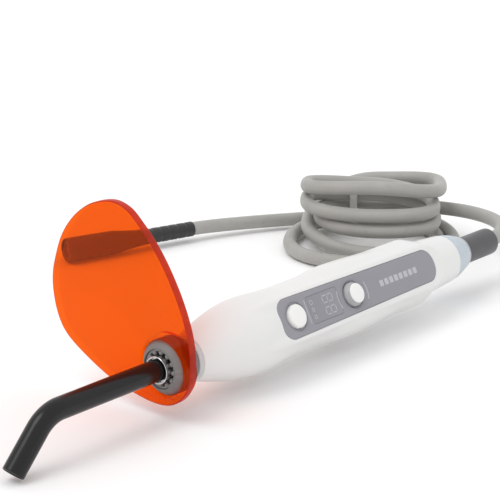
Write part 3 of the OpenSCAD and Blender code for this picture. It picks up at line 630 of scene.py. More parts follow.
def frosted(name, col, amt=0.55):
    m = Mat(name)
    tr = m.n("ShaderNodeBsdfTransparent")
    tr.inputs["Color"].default_value = (0.86, 0.9, 0.94, 1)
    n1 = m.noise(50.0, 4.0, 0.55)
    pb = m.principled(Base_Color=m.mix(m.ramp(n1, 0.3, 0.7, 0, 1.0), col, tuple(x * 0.9 for x in col[:3]) + (1.0,)),
                      Roughness=m.ramp(n1, 0.3, 0.7, 0.14, 0.26), Normal=m.bump(m.noise(900.0), 0.05, 0.0001))
    pb.inputs["Subsurface Weight"].default_value = 0.3
    pb.inputs["Subsurface Radius"].default_value = (0.003, 0.003, 0.004)
    pb.inputs["Subsurface Scale"].default_value = 1.0
    pb.inputs["Coat Weight"].default_value = 0.3
    mx = m.n("ShaderNodeMixShader", in_Fac=amt)
    m.l(tr.outputs[0], mx.inputs[1])
    m.l(pb.outputs[0], mx.inputs[2])
    return m.done(mx)


M["tail"] = frosted("tail_cap_frosted", srgb(206, 217, 226), 0.82)
M["tie"] = frosted("tie_nylon", srgb(232, 232, 226), 0.8)
M["window"] = clear("window_smoked", (0.80, 0.79, 0.82, 1), 0.97, 0.10, srgb(145, 144, 151), 0.80, 0.35, 0.04)
M["mark"] = plastic("mark_pale", srgb(186, 185, 190), rough=0.4, grain=1800, bump=0.02, vary=0.02)
M["mark_soft"] = plastic("mark_soft_grey", srgb(176, 175, 180), rough=0.4, grain=1800, bump=0.02, vary=0.02)

# ------------------------------------------------------------------ shell
PS0, PS1, PWF, PWR = 49.4, 148.3, 7.9, 6.8


def panel_ring(m, seg=20):
    rf = 5.5
    return (arc2(PS1 - PWR, 0, PWR + m, -80, 80, 3 * seg)
            + densify((PS1 - PWR + (PWR + m) * math.cos(math.radians(80)), (PWR + m) * math.sin(math.radians(80))), (PS0 + rf, PWF + m), 40)
            + arc2(PS0 + rf, PWF - rf, rf + m, 92, 180, seg) + arc2(PS0 + rf, -PWF + rf, rf + m, 180, 268, seg)
            + densify((PS0 + rf, -PWF - m), (PS1 - PWR + (PWR + m) * math.cos(math.radians(80)), -(PWR + m) * math.sin(math.radians(80))), 40))


def densify(a, b, n):
    return [(a[0] + (b[0] - a[0]) * i / n, a[1] + (b[1] - a[1]) * i / n) for i in range(1, n)]


def smooth_max(a, b, k):
    h = max(k - abs(a - b), 0.0) / k
    return max(a, b) + h * h * k * 0.25


TS = math.sin(TILT)


def lip_r(s, ang):
    """distance from the axis to the panel lip's soft skin at angle ang from the panel normal"""
    top = PH - 0.15 - (s - 90) * TS
    c, sn = math.cos(ang), abs(math.sin(ang))
    if c <= 0.05:
        return 0.0
    r1 = top / c
    # sloping flank through (8.9, top) and (12.4, 5)
    wl = 8.9 if s <= 141.5 else 8.9 * math.sqrt(max(0.0, 1 - ((s - 141.5) / 18.0) ** 2))
    nx, nz = top - 5.0, 3.5
    L = math.hypot(nx, nz)
    nx, nz = nx / L, nz / L
    d = wl * nx + top * nz
    den = sn * nx + c * nz
    r2 = d / den if den > 1e-6 else 1e9
    r = -smooth_max(-r1, -r2, 1.6) if r2 < 1e8 else r1
    # the ends ramp down
    if s < PS0 - 1.0:
        r -= ((PS0 - 1.0 - s) / 9.0) ** 1.6 * 1.6
    if s > PS1 - 1.3:
        r -= ((s - PS1 + 1.3) / 12.0) ** 1.6 * 3.6
    return max(r, 0.0)


def skin_r(s, ang):
    base = r_at(s)
    lp = lip_r(s, ang) if 38 < s < 160 else 0.0
    if lp <= 0:
        return base
    return smooth_max(base, lp, 0.8) - 0.0


def half_shell(name, sign):
    """one half of the shell: outer skin, inner skin, rims; sign +1 is the panel's half"""
    ns, na = 230, 96
    gap = 0.03
    S = [12.6 + (169.2 - 12.6) * i / ns for i in range(ns + 1)]
    verts, faces = [], []

    def ring(s, rf, lim=None, idx=0):
        row = []
        for j in range(na + 1):
            a = -math.pi / 2 + math.pi * j / na          # angle from the normal
            r = rf(s, a)
            q, h = r * math.sin(a), r * math.cos(a)
            h = max(h, gap)
            if lim is not None:
                h = min(h, lim)
            row.append(len(verts))
            verts.append((s, q, sign * h))
        return row

    def rim_drop(s):
        # small rounding of the skin at both ends
        e = min(s - 12.6, 169.2 - s)
        return 0.35 * (1 - math.sqrt(max(0.0, 1 - (1 - min(e, 0.35) / 0.35) ** 2))) if e < 0.35 else 0.0

    if sign > 0:
        outer_f = lambda s, a: skin_r(s, a) - rim_drop(s)
    else:
        outer_f = lambda s, a: r_at(s) - rim_drop(s)
    S_out = sorted(set([12.6, 12.65, 12.72, 12.82, 12.95] + S + [168.85, 168.98, 169.08, 169.15, 169.2]))
    outer = [ring(s, outer_f) for s in S_out]

    def inner_f(s, a):
        if s < 24.2:
            return 7.25
        if s > 163.0:
            return 8.4
        return max(r_at(s) - 1.8, 8.4 if s > 150 else 5.0)
    S_in = [12.6 + 0.001, 14.0] + [16 + 8.15 * i / 4 for i in range(5)] + [24.21] + [24.3 + (162.9 - 24.3) * i / 90 for i in range(91)] + [163.01, 166.0, 169.199]
    lim = 11.2
    inner = [ring(s, inner_f, lim) for s in S_in]
    for rows, flip in ((outer, False), (inner, True)):
        for i in range(len(rows) - 1):
            for j in range(na):
                f = (rows[i][j], rows[i][j + 1], rows[i + 1][j + 1], rows[i + 1][j])
                faces.append(f[::-1] if flip else f)
    # end rims
    for a, b in ((outer[0], inner[0]), (outer[-1], inner[-1])):
        for j in range(na):
            faces.append((a[j], a[j + 1], b[j + 1], b[j]))
    # seam faces along both long edges
    for j in (0, na):
        faces.append(tuple([r[j] for r in outer] + [r[j] for r in reversed(inner)]))
    o = build(name, verts, faces, PF, True, 30)
    return o


front = half_shell("shell_front_skin", 1)
cut = []
cut.append(slab("c1", panel_ring(0.1), 12.5, 22, 0.0, TF))
START_S, MODE_S = 58.5, 93.0
for b in (START_S, MODE_S):
    cut.append(slab("c2", circle(b, 0, 5.95, 64), 11.0, 20, 0.0, TF))
    cut.append(slab("c3", circle(b, 0, 2.2, 32), 8.0, 12, 0.0, TF))
cut.append(slab("c4", rrect(72, 84.6, -5.2, 5.2, 0.3), 9.0, 20, 0.0, TF))
cut.append(slab("c5", rrect(66.6, 70.8, -5.2, 5.2, 0.3), 9.0, 20, 0.0, TF))
boolean(front, cut)
bv = front.modifiers.new("edge", "BEVEL")
bv.width = 0.00022
bv.segments = 2
bv.limit_method = "ANGLE"
bv.angle_limit = math.radians(50)
bv.use_clamp_overlap = True
finalize(front, 30)
put(front, "handpiece", M["shell"], ["shell_front"])

SCREWS = ((38, 0), (121, 0), (144.5, 6), (144.5, -6))
UP = basis((0, 0, 1), (1, 0, 0), (0, 1, 0), (0, 0, 0))     # turns a lathe's axis outward from the panel

back = half_shell("shell_back_skin", -1)
boolean(back, [slab("c6", circle(s, q, 2.6, 48), -20, -4.0, 0.0, PF) for s, q in SCREWS])
bosses = []
for s, q in SCREWS:
    b = slab("boss", circle(s, q, 3.3, 48), -16, -0.05, 0.0, PF)
    solid = lathe("c", [(0, 13)] + [(r_at(13 + 155.6 * i / 60) - 0.5, 13 + 155.6 * i / 60) for i in range(61)] + [(0, 168.6)], PF, 96)
    boolean(b, [solid], "INTERSECT")
    boolean(b, [slab("c", circle(s, q, 2.6, 48), -20, -4.0, 0.0, PF)])
    boolean(b, [slab("c", circle(s, q, 1.4, 32), -20, 1, 0.0, PF)])
    bosses.append(b)
back = join("shell_back_skin", [back] + bosses)
shade(back.data, True, 30)
put(back, "handpiece", M["shell_rear"], ["shell_back"])

posts = []
for s, q in SCREWS:
    top = 11.3
    posts.append(lathe("p", rounded([(1.05, 0.03), (3.0, 0.03), (3.0, top), (0, top), (0, 8), (1.05, 8)], [0.12, 0.2, 0, 0, 0, 0], 3),
                       PF @ Matrix.Translation((s, q, 0)) @ UP, 40))
po = join("shell_screw_posts", posts)
shade(po.data, True, 32)
put(po, "handpiece", M["shell"])

for i, (s, q) in enumerate(SCREWS):
    prof = rounded([(0, 7.6), (0.55, 7.6), (1.03, 7.0), (1.03, -4.02), (2.3, -4.02), (2.3, -5.6), (0, -5.6)], [0, 0.1, 0.1, 0.05, 0.12, 0.3, 0], 4)
    hd = lathe("shell_screw_%d" % i, prof, PF @ Matrix.Translation((s, q, 0)) @ UP, 48)
    boolean(hd, [slab("c7", circle(s, q, 1.1, 6), -7, -4.8, 0.0, PF)])
    finalize(hd)
    put(hd, "handpiece", M["steel"], ["shell_screws"] if i == 0 else [])

# ------------------------------------------------------------------ panel
pan = slab("panel_plate", panel_ring(0.0), 12.52, PH, 0.45, TF, seg=4, bottom_edge=0.0)
cut = [slab("c", circle(START_S, 0, 4.9, 72), 11, 15, 0.0, TF), slab("c", circle(START_S, 0, 5.7, 72), PH - 0.45, 15, 0.0, TF),
       slab("c", circle(MODE_S, 0, 5.1, 72), 11, 15, 0.0, TF), slab("c", circle(MODE_S, 0, 5.7, 72), PH - 0.4, 15, 0.0, TF),
       slab("c", rrect(66.4, 84.8, -5.4, 5.4, 0.9), PH - 0.62, 15, 0.0, TF),
       slab("c", rrect(67, 70.4, -4.8, 4.8, 0.4), 11, 15, 0.0, TF), slab("c", rrect(72.4, 84.2, -4.8, 4.8, 0.4), 11, 15, 0.0, TF)]
boolean(pan, cut)
bv = pan.modifiers.new("edge", "BEVEL")
bv.width = 0.00012
bv.segments = 2
bv.limit_method = "ANGLE"
bv.angle_limit = math.radians(50)
finalize(pan, 30)
put(pan, "handpiece", M["panel"], ["control_panel"])

win = slab("window_pane", rrect(66.46, 84.74, -5.34, 5.34, 0.85, 8), PH - 0.6, PH - 0.03, 0.12, TF, bottom_edge=0.0)
put(win, "handpiece", M["window"], ["display_window"])

# seven-bar digits, as thin pale bars on the module's face; each stands along the axis
def digit(q, tag):
    c, h, w, b = 78.3, 3.0, 1.35, 0.5
    parts = []
    for k in (-1, 0, 1):
        x = c + k * h
        r = [(x, q - w + 0.28), (x + b / 2, q - w + 0.5), (x + b / 2, q + w - 0.5), (x, q + w - 0.28), (x - b / 2, q + w - 0.5), (x - b / 2, q - w + 0.5)]
        parts.append(slab("d", r, 12.52, 12.74, 0.03, TF, seg=1, bottom_edge=0.0))
    for k in (-1, 1):
        for j in (0, 1):
            y, x0, x1 = q + k * w, c - h * j + 0.28, c - h * j + h - 0.28
            r = [(x0, y), (x0 + 0.22, y - b / 2), (x1 - 0.22, y - b / 2), (x1, y), (x1 - 0.22, y + b / 2), (x0 + 0.22, y + b / 2)]
            parts.append(slab("d", r, 12.52, 12.74, 0.03, TF, seg=1, bottom_edge=0.0))
    return join("display_digit_" + tag, parts)


d1 = digit(-2.3, "a")
put(d1, "handpiece", M["digit"], ["display_digits"])
d2 = digit(2.3, "b")
put(d2, "handpiece", M["digit"])

# pale printed shapes on the panel: thin raised ink
ink = []


def mark(ring):
    ink.append(slab("k", ring, PH - 0.02, PH + 0.035, 0.012, TF, seg=1, bottom_edge=0.0))


def band(cx, cy, r0, r1, a0, a1, n=18):
    return arc2(cx, cy, r1, a0, a1, n) + arc2(cx, cy, r0, a1, a0, n)


for a0, a1 in ((-25, 20), (158, 204)):
    mark(band(MODE_S, 0, 8.75, 9.2, a0, a1))
for i in range(8):
    mark(rrect(110.6 + i * 3.2, 112.9 + i * 3.2, -1.25, 1.25, 0.3, 3))
mark(rrect(65.0, 65.35, -4.6, 4.6, 0.1, 2))
marks = join("panel_ink", ink)
shade(marks.data, True, 30)
put(marks, "handpiece", M["mark"])
wink = []
for q, r in ((2.9, 0.95), (0.0, 0.8), (-2.9, 0.8)):
    wink.append(slab("k", band(68.7, q, r - 0.28, r, 0, 359.0, 32), PH - 0.035, PH + 0.005, 0.01, TF, seg=1, bottom_edge=0.0))
for q in (-2.3, 2.3):
    c, h, w, b = 78.3, 3.0, 1.35, 0.42
    for k in (-1, 0, 1):
        wink.append(slab("k", rrect(c + k * h - b / 2, c + k * h + b / 2, q - w + 0.35, q + w - 0.35, 0.1, 2), PH - 0.035, PH - 0.005, 0.01, TF, seg=1, bottom_edge=0.0))
    for k in (-1, 1):
        for j in (0, 1):
            wink.append(slab("k", rrect(c - h * j + 0.35, c - h * j + h - 0.35, q + k * w - b / 2, q + k * w + b / 2, 0.1, 2), PH - 0.035, PH - 0.005, 0.01, TF, seg=1, bottom_edge=0.0))
wmarks = join("window_ink", wink)
shade(wmarks.data, True, 30)
put(wmarks, "handpiece", M["mark_soft"])


# ------------------------------------------------------------------ buttons
def button(name, s, d, top, taper, body, node, groove, grey):
    r = d / 2
    cr = r - taper
    prof = [(0, 10.63), (2, 10.63), (2, 11.55), (5.7, 11.55), (5.7, 12.45), (r, 12.45), (r, PH + 0.4)]
    rad = [0, 0, 0, 0.15, 0.15, 0, 0.12]
    if groove:
        prof += [(r - 0.08, PH + 0.72), (r - 0.34, PH + 0.76), (r - 0.34, PH + 0.94), (r - 0.13, PH + 0.98)]
        rad += [0.05, 0.03, 0.03, 0.05]
    prof += [(cr, top - 0.7)]
    rad += [0.1]
    arcp = [(cr - 0.6 + 0.6 * math.cos(math.radians(a)), top - 0.7 + 0.45 * math.sin(math.radians(a))) for a in (18, 36, 54, 72, 90)]
    arcp += [(cr * k, top - 0.25 + 0.25 * math.sqrt(1 - k * k)) for k in (0.72, 0.55, 0.36, 0.18)]
    prof += arcp + [(0, top)]
    rad += [0] * (len(arcp) + 1)
    prof = rounded(prof, rad, 3)
    fm = TF @ Matrix.Translation((s, 0, 0)) @ UP
    o = lathe(name, prof, fm, 96, 40, closed=True)
    o.data.materials.append(M["button"])
    # with grey set, the side wall faces below the top take the darker copy: painted shade on the wall
    if grey:
        o.data.materials.append(M["button_side"])
        inv = fm.inverted()
        for pl in o.data.polygons:
            c = inv @ pl.center
            if c.x < top - 0.74 and math.hypot(c.y, c.z) > cr * 0.9:
                pl.material_index = 1
    put(o, body, None, [node])
    return o


button("start_cap", START_S, 9.2, 15.3, 0.3, "start_key", "start_button", True, False)
button("mode_cap", MODE_S, 9.6, 16.7, 0.9, "mode_key", "mode_button", False, True)

# ------------------------------------------------------------------ nose
barrel = lathe("nose_barrel", rounded([(7.35, -1.8), (7.9, -1.8), (10.2, 0.6), (10.4, 0.9), (10.4, 6.4), (10.0, 6.8), (8.2, 6.8), (8.2, 10.4), (7.25, 10.4), (7.25, 24), (6.6, 24), (6.6, 10.2), (4.2, 10.2), (4.2, 9.6), (5.15, 9.6), (5.15, 3.2), (7.35, 3.2)],
                                      [0.1, 0.2, 0.5, 0.3, 0.2, 0.2, 0.1, 0.1, 0.1, 0.1, 0.1, 0.1, 0.1, 0.1, 0.1, 0.15, 0.1], 4), PF, 128)
put(barrel, "handpiece", M["barrel"], ["nose_socket"])
ringo = lathe("nose_ring_band", rounded([(7.3, 10.45), (8.25, 10.45), (8.45, 10.7), (8.45, 12.55), (7.3, 12.55)], 0.15, 3), PF, 128)
put(ringo, "handpiece", M["ring"], ["nose_ring"])


def collet():
    parts = [lathe("p", rounded([(6.45, -1.2), (7.3, -1.2), (7.3, 3.15), (6.45, 3.15)], 0.15, 3), PF, 128)]
    N = 12
    for i in range(N):
        a = 2 * math.pi * i / N
        rot = PF @ Matrix.Rotation(a, 4, "X")
        # a bead with a leaf behind it
        verts, faces = [], []
        nu, nv = 20, 12
        for v in range(nv + 1):
            th = math.pi * v / nv
            for u in range(nu):
                ph = 2 * math.pi * u / nu
                x = -0.7 + 0.95 * math.cos(th)
                y = 0.95 * math.sin(th) * math.cos(ph)
                z = 6.15 + 0.95 * math.sin(th) * math.sin(ph)
                verts.append((x, y, z))
        for v in range(nv):
            for u in range(nu):
                w = (u + 1) % nu
                faces.append((v * nu + u, v * nu + w, (v + 1) * nu + w, (v + 1) * nu + u))
        parts.append(build("p", verts, faces, rot, True, 60))
        leaf = slab("p", rrect(-0.7, 3.1, -0.72, 0.72, 0.3, 4), 5.75, 6.75, 0.1, rot)
        parts.append(leaf)
    return join("snap_ring_beads", parts)


cl = collet()
shade(cl.data, True, 40)
put(cl, "handpiece", M["snap"], ["spring_collet"])

fer = lathe("ferrule_sleeve", rounded([(4.01, -1.2), (4.7, -1.2), (4.7, -3.25), (5.0, -3.25), (5.1, -3.1), (5.1, 5.4), (4.43, 5.4), (4.43, 6.2), (5.1, 6.2), (5.1, 8.6), (4.7, 9.0), (4.01, 9.0)],
                                      [0.05, 0.15, 0.08, 0.08, 0.1, 0.05, 0.05, 0.05, 0.05, 0.2, 0.1, 0.05], 4), PF, 128)
put(fer, "light_guide", M["ferrule"], ["guide_ferrule"])

# guide coat: a tube with a soft tip rim, along straight, bend and straight
GS, GB, GA, GE = 48.8, 14.0, math.radians(47), 16.5


def guide_path(front):
    pts = [(front - (front + GS) * i / 40, 0, 0) for i in range(40)]
    pts += [(-GS - GB * math.sin(GA * i / 48), 0, -GB + GB * math.cos(GA * i / 48)) for i in range(48)]
    p0 = Vector((-GS - GB * math.sin(GA), 0, -GB + GB * math.cos(GA)))
    d = Vector((-math.cos(GA), 0, -math.sin(GA)))
    pts += [tuple(p0 + d * (GE * i / 30)) for i in range(31)]
    return pts, p0, d


def jacket():
    path, p0, d = guide_path(9.0)
    n = 64
    P = [Vector(p) for p in path]
    m = len(P)
    verts, faces, rows = [], [], []

    def ring(c, t, r):
        nrm = Vector((0, 1, 0))
        b = t.cross(nrm).normalized()
        rows.append(len(verts))
        for j in range(n):
            a = 2 * math.pi * j / n
            verts.append(tuple(c + nrm * (r * math.cos(a)) + b * (r * math.sin(a))))
    T = [(P[min(i + 1, m - 1)] - P[max(i - 1, 0)]).normalized() for i in range(m)]
    for i in range(m - 1):
        ring(P[i], T[i], 4.0)
    end = P[-1]
    for a in (0, 22.5, 45, 67.5, 90):
        k = math.radians(a)
        ring(end - d * (0.35 - 0.35 * math.sin(k)), d, 4.0 - 0.35 + 0.35 * math.cos(k))
    ring(end, d, 3.52)
    ring(end - d * 0.05, d, 3.5)
    for i in range(m - 1, -1, -1):
        if i == m - 1:
            continue
        ring(P[i], T[i], 3.5)
    R = len(rows)
    for i in range(R):
        a, b = rows[i], rows[(i + 1) % R]
        for j in range(n):
            k = (j + 1) % n
            faces.append((a + j, a + k, b + k, b + j))
    return build("guide_coat", verts, faces, LF, True, 35)


jk = jacket()
put(jk, "light_guide", M["jacket"], ["guide_jacket"])


def core():
    path, p0, d = guide_path(9.2)
    r = [3.49] * len(path)
    o = sweep("guide_rod", path, r, 48, LF, True)
    return o


cr = core()
put(cr, "light_guide", M["core"], ["guide_core"])

orr = sweep("o_ring_seal", [(5.8, 4.78 * math.cos(2 * math.pi * i / 96), 4.78 * math.sin(2 * math.pi * i / 96)) for i in range(97)], 0.33, 20, LF, False)
put(orr, "guide_seal", M["rubber"], ["guide_oring"])

# ------------------------------------------------------------------ shield
SW, SR = 31.6, 64.2
SST = [(-13.5, 0.2), (-12, 6.9), (-7.3, 13.3), (0.6, 19.5), (11.5, 24.5), (24, 27.9), (34.5, SW - 2.4), (42.4, SW - 2.5), (50.4, SW - 3.6),
       (57, 23.6), (61.9, 15.3), (SR - 0.3, 7.4), (SR, 0), (SR - 1.1, -7.2), (60.2, -14.6), (55.6, -22.6), (49.5, -SW + 3.3), (42, -SW - 0.7),
       (34.5, -SW - 1.6), (24, -30.6), (11.5, -25.7), (0.6, -19), (-7.3, -12.7), (-12, -6.5)]


def crom(a, b, c, d, t):
    return tuple(0.5 * (2 * b[i] + (c[i] - a[i]) * t + (2 * a[i] - 5 * b[i] + 4 * c[i] - d[i]) * t * t + (3 * b[i] - a[i] - 3 * c[i] + d[i]) * t**3) for i in (0, 1))


NS = len(SST)
s_ring = [crom(SST[i - 1], SST[i], SST[(i + 1) % NS], SST[(i + 2) % NS], j / 9) for i in range(NS) for j in range(9)]


def shield():
    n = len(s_ring)
    hole_r = 10.45
    verts, faces, mats = [], [], []
    rim = 0.45
    layers = []
    for k in range(5):
        t = math.pi / 2 * k / 4
        layers.append((rim * (1 - math.sin(t)), -0.8 + rim * (1 - math.cos(t))))
    for k in range(5):
        t = math.pi / 2 * k / 4
        layers.append((rim * (1 - math.cos(t)), 2.2 - rim + rim * math.sin(t)))
    for d, z in layers:
        rr = offset_ring(s_ring, d) if d > 1e-9 else s_ring
        verts += [(p[0], p[1], z) for p in rr]
    for i in range(len(layers) - 1):
        for j in range(n):
            k = (j + 1) % n
            faces.append((i * n + j, i * n + k, (i + 1) * n + k, (i + 1) * n + j))
            mats.append(1)
    # front and back faces with the hole, by matching angles round the hole
    m = n
    inner_r = offset_ring(s_ring, rim)
    ang = [math.atan2(p[1], p[0]) for p in inner_r]
    base = len(verts)
    # hole rims: front edge rounded; collar behind
    ROUND = 0.5
    prof = [(hole_r + ROUND, -0.8), (hole_r + 0.15, -0.65), (hole_r, -0.3), (hole_r, 4.7), (hole_r + 0.15, 5.0), (11.9, 5.0), (12.2, 4.7), (12.2, 2.9), (12.45, 2.4), (13.0, 2.2)]
    for r, z in prof:
        for a in ang:
            verts.append((r * math.cos(a), r * math.sin(a), z))
    f_in = base
    b_in = base + (len(prof) - 1) * m
    for j in range(m):
        k = (j + 1) % m
        faces.append((j, k, f_in + k, f_in + j))
        mats.append(0)
    last = (len(layers) - 1) * n
    for j in range(m):
        k = (j + 1) % m
        faces.append((last + j, b_in + j, b_in + k, last + k))
        mats.append(0)
    for i in range(len(prof) - 1):
        for j in range(m):
            k = (j + 1) % m
            a, b = base + i * m, base + (i + 1) * m
            faces.append((a + j, a + k, b + k, b + j))
            mats.append(2)
    me = bpy.data.meshes.new("shield_sheet")
    me.from_pydata([tuple(SF @ Vector(v)) for v in verts], [], faces)
    me.materials.append(M["shield"])
    me.materials.append(M["shield_rim"])
    me.materials.append(M["shield"])
    me.polygons.foreach_set("material_index", mats)
    bm = bmesh.new()
    bm.from_mesh(me)
    bmesh.ops.recalc_face_normals(bm, faces=bm.faces)
    bm.to_mesh(me)
    bm.free()
    shade(me, True, 30)
    return link("shield_sheet", me)


sh = shield()
put(sh, "eye_shield", None, ["light_shield"])

# ------------------------------------------------------------------ tail
TE = 169.2
prof = [(6.4, 163.2), (8.3, 163.2), (8.3, TE + 0.05), (10.05, TE + 0.05)]
prof += [(10.05 - 2.6 * (i / 24) ** 1.5, TE + 0.05 + 11.1 * i / 24) for i in range(1, 25)]
prof += [(5.89, TE + 11.15), (5.89, TE + 9.6), (7, TE + 4), (7, 165.6), (6.4, 165.6)]
rad = [0.1] * 3 + [0.3] + [0] * 23 + [0.3, 0.1, 0.1, 0.5, 0.2, 0.1]
cap = lathe("tail_cap_dome", rounded(prof, rad, 3), PF, 128)
put(cap, "handpiece", M["tail"], ["tail_cap"])
rm = lathe("tail_rim_ring", rounded([(5.94, TE + 11.2), (7.35, TE + 11.2), (7.1, TE + 12.4), (5.94, TE + 12.4)], 0.25, 3), PF, 128)
put(rm, "handpiece", M["rim"], ["tail_rim"])
RR, RE, CR = 5.84, 205.0, 3.2
prof = [(CR + 0.03, 158), (4.6, 158), (4.6, 161.5), (RR, 163), (RR, 166), (6.9, 166), (6.9, 167.6), (RR, 167.6), (RR, RE - 1.6)]
prof += [(RR - 1.6 + 1.6 * math.cos(math.radians(a)), RE - 1.6 + 1.6 * math.sin(math.radians(a))) for a in range(9, 91, 9)]
prof += [(CR + 0.35, RE), (CR + 0.08, RE - 0.12), (CR + 0.03, RE - 0.5)]
sl = lathe("relief_sleeve", prof, PF, 128, 25)
put(sl, "handpiece", M["sleeve"], ["strain_relief"])

# ------------------------------------------------------------------ cable
CA = math.radians(36.3)
CC = (216.6, 72.6)
CV = (math.cos(CA), math.sin(CA))
CU = (math.sin(CA), -math.cos(CA))
EXT = [32.5, -24.9, 29.1, -31, 28.5, -30.9, 31.6, -30.9, 31.3, -38.5, 38.6, -30]
MID = [24.1, -15.5, 17.3, -15.5, 12.2, -11.4, 35.2, -24.3, 27.1, -39.9, 34.8]
CZ = [12.65, 14.9, 11.15, 13.4, 20.1, 21.85, 18.65, 20.1, 26.7, 28.95, 31, 26.45, 23.55, 9]
LIFT = 2.2


def zc(i):
    return CZ[i] if i < len(CZ) else (CR + LIFT if i in (16, 20) else CR)


def sq_n(k):
    return 3.2 if k < 6 else 2.3


def coil_at(k, h, t):
    a, b = EXT[k + h], EXT[k + h + 1]
    c, d = MID[k], MID[k + 1]
    n = sq_n(k)
    co, si = max(0.0, math.cos(math.radians(90 * t))), math.sin(math.radians(90 * t))
    g = (co ** n + si ** n) ** (-1 / n)
    co, si = co * g, si * g
    if h == 0:
        u, v = (a + b) / 2 + (b - a) / 2 * si, (c + d) / 2 - (d - c) / 2 * co
    else:
        u, v = (a + b) / 2 - (b - a) / 2 * co, (c + d) / 2 + (d - c) / 2 * si
    e = t * t * (3 - 2 * t)
    z = zc(2 * k + h) + (zc(2 * k + h + 1) - zc(2 * k + h)) * e
    return Vector((CC[0] + CU[0] * u + CV[0] * v, CC[1] + CU[1] * u + CV[1] * v, z))


def bez(a, b, c, d, t):
    return a * (1 - t) ** 3 + b * (3 * t * (1 - t) ** 2) + c * (3 * t * t * (1 - t)) + d * t**3


PC = Vector((166.0, 141.65, 5.75))
PD = Vector((-0.9586, 0.2846, 0.0)).normalized()
U3 = Vector((CU[0], CU[1], 0))


def cable_points():
    c0, c1 = coil_at(0, 0, 0), coil_at(9, 1, 1)
    la = Vector((RE, 0, AXH))
    pts = [Vector((149 + (RE - 0.5 - 149) * i / 10, 0, AXH)) for i in range(10)]
    pts += [bez(la, la + Vector((35, 0, 0)), c0 + U3 * 43.1 + Vector((0, 0, 2)), c0, i / 48) for i in range(48)]
    for k in range(10):
        for h in (0, 1):
            pts += [coil_at(k, h, i / 26) for i in range(26)]
    pts += [bez(c1, c1 - U3 * 40 - Vector((0, 0, 3)), PC - PD * 15, PC, i / 48) for i in range(48)]
    pts += [PC + PD * (31 * i / 6) for i in range(7)]
    return pts


pts = cable_points()
# one light smoothing pass takes out the curvature steps between the quarter turns
for _ in range(6):
    pts = [pts[0]] + [(pts[i - 1] + pts[i] * 2 + pts[i + 1]) / 4 for i in range(1, len(pts) - 1)] + [pts[-1]]
cab = sweep("cable_tube", pts, CR, 28, WF)
put(cab, "handpiece", M["cable"], ["cable"])

# ------------------------------------------------------------------ tie
TU, TW, TG = -9.4, 3.6, 0.9


def tie_hit(k):
    a, b = EXT[k], EXT[k + 1]
    n = sq_n(k)
    x = (TU - (a + b) / 2) * 2 / (b - a)
    y = (1 - x ** n) ** (1 / n)
    t = math.degrees(math.atan2(x, y)) / 90
    c, d = MID[k], MID[k + 1]
    e = t * t * (3 - 2 * t)
    return ((c + d) / 2 - (d - c) / 2 * y, zc(2 * k) + (zc(2 * k + 1) - zc(2 * k)) * e)


TC = [tie_hit(2), tie_hit(8), (MID[10], zc(20))]


def out_a(p, q):
    return math.degrees(math.atan2(p[0] - q[0], q[1] - p[1]))


def hull_ring(c, r, seg=10):
    out = []
    n = len(c)
    for i in range(n):
        a0, a1 = out_a(c[i - 1], c[i]), out_a(c[i], c[(i + 1) % n])
        if a1 < a0:
            a1 += 360
        out += arc2(c[i][0], c[i][1], r, a0, a1, seg)
    return out


def tie():
    TFm = WF @ basis((CV[0], CV[1], 0), (0, 0, 1), (CU[0], CU[1], 0), (CC[0] + CU[0] * (TU - TW / 2), CC[1] + CU[1] * (TU - TW / 2), 0))
    outer = hull_ring(TC, CR + TG + 0.78)
    inner = hull_ring(TC, CR + TG)
    n = len(outer)
    verts, faces = [], []
    e = 0.25
    rows = [(outer, e, 0.0), (outer, 0, e), (outer, 0, TW - e), (outer, e, TW), (inner, -e, TW), (inner, 0, TW - e), (inner, 0, e), (inner, -e, 0.0)]
    for ring, d, z in rows:
        rr = offset_ring(ring, d) if abs(d) > 1e-9 else ring
        verts += [(p[0], p[1], z) for p in rr]
    R = len(rows)
    for i in range(R):
        a, b = i * n, ((i + 1) % R) * n
        for j in range(n):
            k = (j + 1) % n
            faces.append((a + j, a + k, b + k, b + j))
    band = build("t", verts, faces, TFm, True, 40)
    return band


td = tie()
td.name = "cable_tie_band"
put(td, "handpiece", M["tie"], ["cable_tie"])

# ------------------------------------------------------------------ plug
PA = math.atan2(PD.y, PD.x)
GF = WF @ Matrix.Translation(PC) @ Matrix.Rotation(PA, 4, "Z")
prof = [(CR + 0.02, 0), (3.3, 0), (3.42, 0.2)]
for i in range(5):
    b = i * 0.02
    prof += [(3.56 + b, 0.5 + i * 4.5), (3.56 + b, 3.4 + i * 4.5), (3.4 + b, 3.8 + i * 4.5), (3.4 + b, 4.5 + i * 4.5)]
prof += [(3.6, 23.5), (3.95, 30), (4.6, 36), (5.25, 40.4), (5.3, 40.95), (CR + 0.02, 40.95)]
ps = lathe("plug_boot", rounded(prof, [0, 0.1, 0.1] + [0.15] * 20 + [1, 4, 4, 0.6, 0.1, 0], 4), GF, 96)
put(ps, "handpiece", M["plug"], ["plug_sleeve"])


